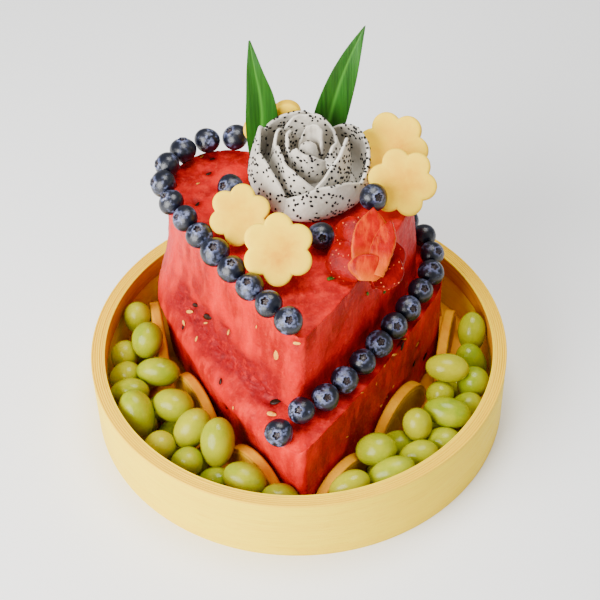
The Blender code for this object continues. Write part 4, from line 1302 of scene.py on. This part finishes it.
def flower_shape(size):
    """Rings from the middle of one face round the six-lobed edge to the other."""
    half = MELON_THICKNESS / 2
    face = [(0.1, 1.0), (0.25, 1.0), (0.4, 1.0), (0.55, 1.0), (0.68, 1.0), (0.78, 0.995),
            (0.86, 0.98), (0.92, 0.93), (0.96, 0.84), (0.985, 0.7), (0.998, 0.5), (1.0, 0.25)]
    stack = [(s, -d) for s, d in face] + [(1.0, 0.0)] + [(s, d) for s, d in reversed(face)]
    rings = []
    edge = []
    for share, depth in stack:
        ring = []
        for angle in angles_round(FLOWER_ROUND):
            off_lobe = (angle + math.pi / 6) % (math.pi / 3) - math.pi / 6
            lobe = LOBE_CENTRE * math.cos(off_lobe)
            lobe += math.sqrt(LOBE_RADIUS ** 2 - (LOBE_CENTRE * math.sin(off_lobe)) ** 2)
            reach = lobe * share * size
            spot = Vector((reach * math.cos(angle), reach * math.sin(angle), depth * half))
            spot.z += 0.25 * noise.noise(spot * 0.16) * (1 if abs(depth) > 0.9 else 0)
            ring.append(spot)
            edge.append(share)
        rings.append(ring)
    points, faces = skin_over(rings)
    return points, faces, edge + [0.0, 0.0]


def melon_finish():
    """Pale cream-yellow melon, moist and a little clear, with faint fibres."""
    made, tree, shader = new_finish(
        "melon_flesh", 0.42, Subsurface_Weight=0.1, Subsurface_Scale=0.003,
        Subsurface_Radius=(1.0, 0.5, 0.02), Specular_IOR_Level=0.05)
    cloud = streaks_in(tree, 34.0, 3.0, 0.35, 0.66)
    fibre = streaks_in(tree, 240.0, 3.0, 0.45, 0.72)
    edge = measured(tree, "edge")
    colour = layered(
        tree, mixed(tree, cloud, (0.74, 0.29, 0.0), (0.94, 0.56, 0.002)),
        (fibre, 0.0, 1.0, 0.0, 0.35, (0.95, 0.64, 0.010)),
        (edge, 0.3, 0.9, 0.0, 0.7, (0.97, 0.68, 0.020)),
        # The side wall round each flower's edge is painted darker: painted shade.
        (edge, 0.985, 1.0, 0.0, 0.5, (0.80, 0.42, 0.002)))
    tree.links.new(colour, shader.inputs["Base Color"])
    bumped(tree, shader, grain_in(tree, 480.0), 0.15, 0.3)
    return made


melon = melon_finish()
for node, (centre, size, facing, spin) in FLOWERS.items():
    local, faces, edge = flower_shape(size)
    turn = Vector((0, 0, 1)).rotation_difference(Vector(facing)).to_matrix().to_4x4()
    place = (Matrix.Translation(Vector(centre)) @ turn
             @ Matrix.Rotation(math.radians(spin), 4, "Z"))
    flower = make_piece(node + "_fruit", [place @ p for p in local], faces, melon,
                        {"edge": edge})
    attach(flower, "root")
    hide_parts(node)

# ---- dragon-fruit rose ------------------------------------------------------
# A rose carved from peeled white dragon fruit: thick cupped petals stand round a
# rolled middle. The flesh is firm and full of small black seeds.
ROSE_CENTRE = (8.5, 46.0)
ROSE_FOOT = CAKE_TOP + STACK_GAP
PETAL_ROWS = 15
PETAL_SPAN_STEPS = 6
PETALS = (
    (((152, 32.0, 31), (131, 32.5, 36), (108, 32.5, 39), (90, 32.5, 38), (76, 32.5, 33),
      (60, 32.0, 25)), 35.5, 0.4, 3.6),
    (((66, 31.5, 27), (50, 33.0, 32), (32, 34.5, 33), (14, 35.5, 29), (-2, 35.8, 24),
      (-17, 35.0, 19), (-34, 33.0, 14)), 35.8, 0.4, 3.6),
    (((-124, 31.0, 13), (-107, 31.5, 19), (-90, 31.5, 23.5), (-71, 31.5, 26), (-50, 32.0, 23),
      (-33, 33.5, 18), (-20, 35.0, 12)), 35.8, 0.4, 3.8),
    (((141, 31.5, 30), (155, 31.0, 39), (170, 30.5, 36), (187, 30.0, 34), (206, 30.0, 32.5),
      (222, 30.0, 29), (234, 30.5, 23), (247, 31.5, 14)), 35.6, 0.4, 3.8),
    (((170, 18.5, 26), (182, 18.5, 33), (205, 19.0, 33), (222, 20.0, 31), (243, 21.0, 28.5),
      (262, 22.0, 24), (284, 23.0, 17)), 24.0, 3.0, 3.4),
    (((14, 22.5, 30), (0, 22.8, 37), (-22, 21.5, 33.5), (-47, 21.5, 30), (-67, 22.0, 25),
      (-90, 23.0, 16)), 24.5, 3.0, 3.4),
    (((130, 23.0, 33), (111, 24.0, 40), (92, 24.0, 41.5), (70, 24.0, 40.5), (50, 22.5, 35),
      (25, 19.0, 33), (0, 16.5, 33), (-20, 14.5, 32), (-42, 12.8, 26)), 22.5, 3.0, 3.2),
    (((120, 20.8, 29), (136, 21.0, 36), (147, 21.0, 38), (163, 20.8, 35), (188, 20.0, 26)),
     23.5, 3.0, 2.8),
    (((115, 13.0, 31), (135, 13.0, 37), (152, 13.0, 40), (175, 13.0, 38), (198, 13.0, 33),
      (222, 12.3, 28)), 14.5, 7.0, 2.8),
    (((206, 12.0, 31), (222, 11.0, 35.5), (246, 10.5, 33.5), (274, 10.2, 33), (300, 11.5, 30),
      (334, 13.5, 25)), 13.0, 8.0, 2.8),
    (((138, 9.0, 27), (114, 9.0, 36), (92, 9.0, 41.5), (62, 9.0, 43), (30, 9.0, 41),
      (-12, 8.0, 32)), 9.6, 8.0, 2.6))
CORE_ROUND = 40
ROSE_CORE = ((2.0, 0.0), (25.0, 0.0), (27.4, 1.2), (28.0, 3.0), (26.0, 5.4), (20.0, 8.0),
             (9.0, 18.0), (6.4, 25.0), (4.6, 32.0), (2.0, 34.4))


def rose_point(turn, radius, height):
    """A point about the rose's axis; its back is flatter than its front."""
    depth = 0.885 - 0.145 * math.sin(turn)
    return Vector((ROSE_CENTRE[0] + radius * math.cos(turn),
                   ROSE_CENTRE[1] + radius * depth * math.sin(turn), ROSE_FOOT + height))


def petal_rings(stations, belly, low, thickness, seed):
    """Cross-sections along a petal, each up its front, over its rim and down its back."""
    chain = rounded(stations, PETAL_SPAN_STEPS)
    rings = []
    for k, (bearing, rim, high) in enumerate(chain):
        u = k / (len(chain) - 1)
        end = max(0.0, (abs(2 * u - 1) - 0.88) / 0.12)
        thin = math.sqrt(max(0.04, 1 - end * end))
        flutter = noise.noise(Vector((bearing * 0.055, seed * 3.1, 0.0)))
        rim += 0.9 * flutter
        high += 0.7 * noise.noise(Vector((bearing * 0.07, seed * 5.3, 4.0)))
        turn = math.radians(bearing)
        front = []
        back = []
        for r in range(PETAL_ROWS):
            v = r / (PETAL_ROWS - 1)
            bulge = 1 - 0.2 * (1 - min(1.0, v / 0.45)) ** 2
            closing = max(0.0, (v - 0.35) / 0.65) ** 1.6
            wall = thickness * (1 - 0.35 * v)
            radius = belly * bulge * (1 - closing) + rim * closing
            radius += 0.35 * noise.noise(Vector((bearing * 0.04, v * 2.5, seed * 1.7)))
            middle = radius - wall / 2
            lip = wall * thin / 2
            height = low + (high - low - 0.8 * wall * 0.5) * v
            front.append(rose_point(turn, middle + lip, height))
            back.append(rose_point(turn, middle - lip, height))
            if r == PETAL_ROWS - 1:
                over = [rose_point(turn, middle + lip * math.cos(a), height + lip * math.sin(a))
                        for a in (math.pi * s / 6 for s in range(1, 6))]
        rings.append(front + over + back[::-1])
    return rings


def seed_sowing_tree():
    """Small seeds over a surface, in loose clusters, each turned its own way."""
    tree, given, result = new_tree(
        "sown_seeds", "GeometryNodeTree",
        {"Geometry": "Geometry", "Shape": "Object", "Most per Area": "Float",
         "Least Gap": "Float", "Cluster Scale": "Float", "Small": "Float", "Large": "Float",
         "Seed": "Int", "Finish": "Material"}, {"Geometry": "Geometry"})
    inputs = given.outputs
    cluster = add_node(tree, "ShaderNodeTexNoise",
                       {"Vector": add_node(tree, "GeometryNodeInputPosition"),
                        "Scale": inputs["Cluster Scale"], "Detail": 2.0})
    points = add_node(tree, "GeometryNodeDistributePointsOnFaces",
                      {"Mesh": inputs["Geometry"], "Distance Min": inputs["Least Gap"],
                       "Density Max": inputs["Most per Area"],
                       "Density Factor": ranged(tree, cluster, 0.38, 0.62, 0.12, 1.0),
                       "Seed": inputs["Seed"]}, distribute_method="POISSON")
    shape = add_node(tree, "GeometryNodeObjectInfo", {"Object": inputs["Shape"]})
    size = chance_in(tree, inputs["Seed"], inputs["Small"], inputs["Large"])
    copies = add_node(tree, "GeometryNodeInstanceOnPoints",
                      {"Points": points, "Instance": shape.outputs["Geometry"],
                       "Rotation": spun(tree, points.outputs["Rotation"], inputs["Seed"]),
                       "Scale": size})
    return ended(tree, result, copies, inputs["Finish"])


sowing = seed_sowing_tree()


def small_seed():
    """A unit seed of a few faces, longer than wide and rather flat."""
    rings = []
    for tilt in (-52, 0, 52):
        t = math.radians(tilt)
        rings.append([(0.55 * math.cos(t) * math.cos(a) * (1.1 if math.cos(a) > 0 else 0.9),
                       0.42 * math.cos(t) * math.sin(a), 0.28 * math.sin(t))
                      for a in angles_round(8)])
    return skin_over(rings)


def sown(name, carrier, most, gap, cluster, small, large, seed, finish):
    """Seeds on a copy of the carrier's surface; sizes in mm and numbers per cm2."""
    base = add_object(name + "_base", carrier.data.copy())
    points, faces = small_seed()
    shape = unit_object(name + "_shape", points, faces)
    made = grown(name, base, sowing, {
        "Shape": shape, "Most per Area": most * 10000.0, "Least Gap": gap * MM,
        "Cluster Scale": cluster, "Small": small * MM, "Large": large * MM, "Seed": seed,
        "Finish": finish})
    bpy.data.objects.remove(shape, do_unlink=True)
    made.data.shade_smooth()
    return made


def dragon_finish():
    """Firm white flesh, a little clear, in greyer and whiter patches."""
    made, tree, shader = new_finish(
        "dragon_fruit_flesh", 0.45, Subsurface_Weight=0.25, Subsurface_Scale=0.003,
        Subsurface_Radius=(1.0, 0.9, 0.8), Specular_IOR_Level=0.3)
    cloud = streaks_in(tree, 45.0, 3.0, 0.35, 0.66)
    cells = grain_in(tree, 560.0)
    colour = layered(tree, mixed(tree, cloud, (0.42, 0.38, 0.31), (0.64, 0.59, 0.50)),
                     (cells, 0.3, 1.0, 0.0, 0.3, (0.72, 0.68, 0.60)))
    tree.links.new(colour, shader.inputs["Base Color"])
    bumped(tree, shader, cells, 0.25, 0.35)
    return made


def joined_skins(stacks):
    """Points and faces of several closed skins, as one piece."""
    points = []
    faces = []
    for stack in stacks:
        more_points, more_faces = skin_over(stack)
        faces += [tuple(len(points) + v for v in face) for face in more_faces]
        points += more_points
    return points, faces


core = [[rose_point(math.atan2(y, x), math.hypot(x, y), z) for x, y, z in ring]
        for ring in turned(ROSE_CORE, CORE_ROUND)]
petals = [petal_rings(*petal, seed) for seed, petal in enumerate(PETALS)]
rose = make_piece("dragon_fruit_petals", *joined_skins([core] + petals), dragon_finish())
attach(rose, "root")
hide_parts("dragon_fruit_rose")
black_seed = seed_finish("dragon_fruit_seed", (0.004, 0.004, 0.005), (0.02, 0.018, 0.018), 0.35)
rose_seeds = sown("dragon_fruit_seeds", rose, most=16.0, gap=1.5, cluster=110.0, small=1.35,
                  large=2.1, seed=6, finish=black_seed)
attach(rose_seeds, "root")

# ---- strawberry rose --------------------------------------------------------
# One large strawberry cut nearly through from its tip and pressed open, so its
# wedges fan out like petals. Some show the seeded skin and some the wet cut flesh.
STRAW_BASE = Vector((38.0, -19.0, ROSE_FOOT))
STRAW_FRONT = Vector((38.3, -38.5, ROSE_FOOT + 2.8))
STRAW_CORE = ((1.0, 0.0), (10.0, 0.0), (12.6, 2.2), (13.5, 5.0), (13.0, 9.0), (11.5, 12.0),
              (9.0, 15.0), (6.0, 18.0), (3.0, 20.0), (1.0, 21.0))


def fan(across, up, lift):
    """A point of the fan: across, up its leaning face, then lifted off that face."""
    lean = math.sqrt(0.5)
    return STRAW_FRONT + Vector((across, lean * (up - lift), lean * (up + lift)))


# Each wedge: foot, tip, the way it faces, half widths, thickness, hollow, and skin share.
WEDGES = (
    (fan(1, 4, 0), fan(4.5, 42.0, 1), (0.0, -0.7, 0.7), (7, 10, 10.5, 8.5, 1), 6.0, 1.5, 0),
    (fan(4, 5, 3), fan(14, 34.5, 3), (-0.3, -0.7, 0.6), (5, 6, 6.5, 5.5, 1), 5.0, 1.0, 0),
    (fan(-3, 6, -2), fan(-9.5, 37.5, -5), (-0.5, -0.6, 0.6), (7, 10, 11.5, 11, 6), 6.0, -2.0, 1),
    (fan(5, 6, -3), fan(19.0, 21.5, -5), (0.4, -0.6, 0.7), (6, 9, 10, 9, 5), 6.0, -2.0, 1),
    (fan(0, 2, 3), fan(1, 16.5, 4.5), (0.0, -0.7, 0.7), (5, 9, 11, 9, 5), 5.0, -1.0, 0),
    (fan(1, 4, 1), fan(19.5, 11.5, -4), (0.3, -0.6, 0.7), (7, 10, 11, 10, 6), 6.0, -2.0, 1),
    (fan(-2, 7, 2), fan(-20.5, 18.5, -6), (-0.4, -0.6, 0.7), (7, 9.5, 11, 10.5, 6), 5.0, -2.0,
     1))
WEDGE_ROWS = 40
WEDGE_ROUND = 32


def wedge_rings(start, end, facing, widths, thickness, hollow):
    """Cross-sections of a wedge from foot to tip, and each point's place along and across."""
    along = (end - start).normalized()
    side = along.cross(Vector(facing)).normalized()
    out = side.cross(along)
    halves = [w[0] for w in rounded([(w,) for w in widths], WEDGE_ROWS // 4)]
    rings = []
    places = []
    for r, half in enumerate(halves):
        v = r / (len(halves) - 1)
        spine = start + (end - start) * v
        wall = thickness * 0.5 * (1 - 0.4 * v)
        tip = math.sqrt(max(0.02, 1 - max(0.0, (v - 0.9) / 0.1) ** 2))
        ring = []
        for angle in angles_round(WEDGE_ROUND):
            u = math.copysign(abs(math.cos(angle)) ** 0.7, math.cos(angle))
            w = math.copysign(abs(math.sin(angle)) ** 0.7, math.sin(angle))
            cup = hollow * u * u * math.sin(math.pi * v)
            nick = 0.5 * noise.noise(spine * 0.45 + side * u * 3) * abs(u)
            ring.append(spine + side * (half + nick) * u * tip + out * (wall * w * tip + cup))
            places.append((v, abs(u)))
        rings.append(ring)
    return rings, places


def strawberry_finish():
    """Red skin, and wet cut flesh that turns orange at its foot and pale at its edges."""
    made, tree, shader = new_finish("strawberry_flesh", 0.3, Specular_IOR_Level=0.06)
    cloud = streaks_in(tree, 110.0, 3.0, 0.36, 0.66)
    fibre = streaks_in(tree, (300.0, 90.0, 90.0), 3.0, 0.45, 0.66)
    skin = mixed(tree, cloud, (0.14, 0.0, 0.0), (0.27, 0.0, 0.0))
    cut = layered(
        tree, mixed(tree, cloud, (0.22, 0.0, 0.0), (0.38, 0.004, 0.0)),
        (fibre, 0.0, 1.0, 0.0, 0.6, (0.62, 0.060, 0.0)),
        (measured(tree, "along"), 0.0, 0.45, 0.7, 0.0, (0.64, 0.12, 0.0)),
        (measured(tree, "across"), 0.88, 1.0, 0.0, 0.4, (0.74, 0.17, 0.004)))
    colour = mixed(tree, measured(tree, "skin"), cut, skin)
    tree.links.new(colour, shader.inputs["Base Color"])
    bumped(tree, shader, grain_in(tree, 700.0), 0.3, 0.4)
    return made


straw_core = [[Vector(p) + STRAW_BASE for p in ring] for ring in turned(STRAW_CORE, WEDGE_ROUND)]
core_places = [(0.5, 0.0)] * (WEDGE_ROUND * len(straw_core))
straw_stacks = [(straw_core, core_places, 1.0)]
straw_stacks += [(*wedge_rings(*wedge[:-1]), float(wedge[-1])) for wedge in WEDGES]
straw_measures = {"skin": [], "along": [], "across": []}
for rings, places, skin in straw_stacks:
    for along, across in places + [(0.0, 0.0), (1.0, 0.0)]:
        straw_measures["skin"].append(skin)
        straw_measures["along"].append(along)
        straw_measures["across"].append(across)
points, faces = joined_skins([stack[0] for stack in straw_stacks])
strawberry = make_piece("strawberry_petals", points, faces, strawberry_finish(), straw_measures)
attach(strawberry, "root")
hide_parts("strawberry_rose")

# The petals of skin, but not the core, carry small pale seeds, set well apart.
skin_stacks = [stack[0] for stack in straw_stacks[1:] if stack[2] == 1.0]
skin_only = make_piece("strawberry_skin_only", *joined_skins(skin_stacks), None)
pip_finish = seed_finish("strawberry_pip", (0.52, 0.05, 0.010), (0.72, 0.16, 0.05), 0.35)
pips = sown("strawberry_pips", skin_only, most=34.0, gap=2.4, cluster=1.0, small=0.8,
            large=1.2, seed=11, finish=pip_finish)
bpy.data.objects.remove(skin_only, do_unlink=True)
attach(pips, "root")

# Three dry bits of the strawberry's green collar lie round its foot: pixel x and y,
# length in mm and turn in degrees.
SEPALS = ((331, 279, 5.6, 12), (367, 293.5, 4.2, -60), (384, 292, 3.6, 25))
SEPAL_LIFT = 0.5
sepal_places = []
for x, y, length, turn in SEPALS:
    name, point, normal = seen_spot((x, y))
    sepal_places.append((point + normal * SEPAL_LIFT, on_face(normal, turn).normalized(),
                         normal, length, length))
sepal_green = seed_finish("strawberry_collar", (0.020, 0.060, 0.006), (0.10, 0.17, 0.020), 0.6)
collar = make_piece("strawberry_collar_bits", *laid_seeds(sepal_places), sepal_green)
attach(collar, "root")

# ---- pandan leaves ----------------------------------------------------------
# Two cut tips of pandan leaf stuck in behind the rose. A pandan leaf is a long
# blade with a keel along its middle, fine lengthwise veins and a waxy shine.
# Each station is x, y, z and half width.
LEAVES = {
    "pandan_leaf_left": ((-21.5, 69.9, 126.3, 4.0), (-20.2, 70.2, 142.0, 7.0),
                         (-18.2, 70.9, 158.0, 9.4), (-18.6, 71.2, 176.0, 8.0),
                         (-21.0, 71.6, 194.0, 4.6), (-23.2, 72.0, 213.4, 0.5)),
    "pandan_leaf_right": ((19.5, 72.4, 126.3, 5.0), (20.5, 76.0, 142.0, 8.0),
                          (22.5, 79.0, 156.0, 10.2), (28.0, 81.4, 176.0, 9.0),
                          (34.5, 82.8, 195.0, 5.4), (42.0, 84.0, 213.0, 0.5))}
LEAF_FOLD = 0.2
LEAF_THICKNESS = 0.7
LEAF_ACROSS = 28
VEINS = 9


def leaf_rings(stations):
    """Cross-sections up a keeled blade, each a thin loop with low veins."""
    rings = []
    across_place = []
    for x, y, z, half in rounded(stations, 12):
        ring = []
        for face in (0, 1):
            order = range(LEAF_ACROSS + 1) if face == 0 else range(LEAF_ACROSS, -1, -1)
            for c in order:
                u = 2 * c / LEAF_ACROSS - 1
                wave = 0.5 * math.sin(0.13 * z + 2.0 * u)
                depth = LEAF_FOLD * half * abs(u) + wave * abs(u)
                vein = 0.05 * math.cos(2 * math.pi * VEINS * u) * min(1.0, half / 4)
                thick = LEAF_THICKNESS * (1 - 0.6 * abs(u)) * min(1.0, 0.3 + half / 4)
                out = thick + 0.1 if face else 0.1 - vein
                ring.append((x + half * u, y - depth + out, z))
                across_place.append(u)
        rings.append(ring)
    points, faces = skin_over(rings)
    return points, faces, across_place + [0.0, 0.0]


def leaf_finish():
    """Fresh green, paler along the keel, with fine paler lines and a waxy shine."""
    made, tree, shader = new_finish("pandan_leaf", 0.35, Subsurface_Weight=0.1,
                                    Subsurface_Scale=0.001, Specular_IOR_Level=0.3)
    streaks = streaks_in(tree, (420.0, 60.0, 14.0), 3.0, 0.36, 0.66)
    fine = streaks_in(tree, (1500.0, 200.0, 20.0), 2.0, 0.4, 0.65)
    off_keel = math_of(tree, "ABSOLUTE", measured(tree, "across"))
    colour = layered(
        tree, mixed(tree, streaks, (0.006, 0.050, 0.003), (0.017, 0.120, 0.006)),
        (fine, 0.0, 1.0, 0.0, 0.4, (0.030, 0.16, 0.010)),
        (off_keel, 0.02, 0.16, 0.75, 0.0, (0.060, 0.25, 0.022)))
    tree.links.new(colour, shader.inputs["Base Color"])
    bumped(tree, shader, fine, 0.1, 0.5)
    return made


leaf_green = leaf_finish()
for node, stations in LEAVES.items():
    points, faces, across_place = leaf_rings(stations)
    leaf = make_piece(node + "_blade", points, faces, leaf_green, {"across": across_place})
    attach(leaf, "root")
    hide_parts(node)
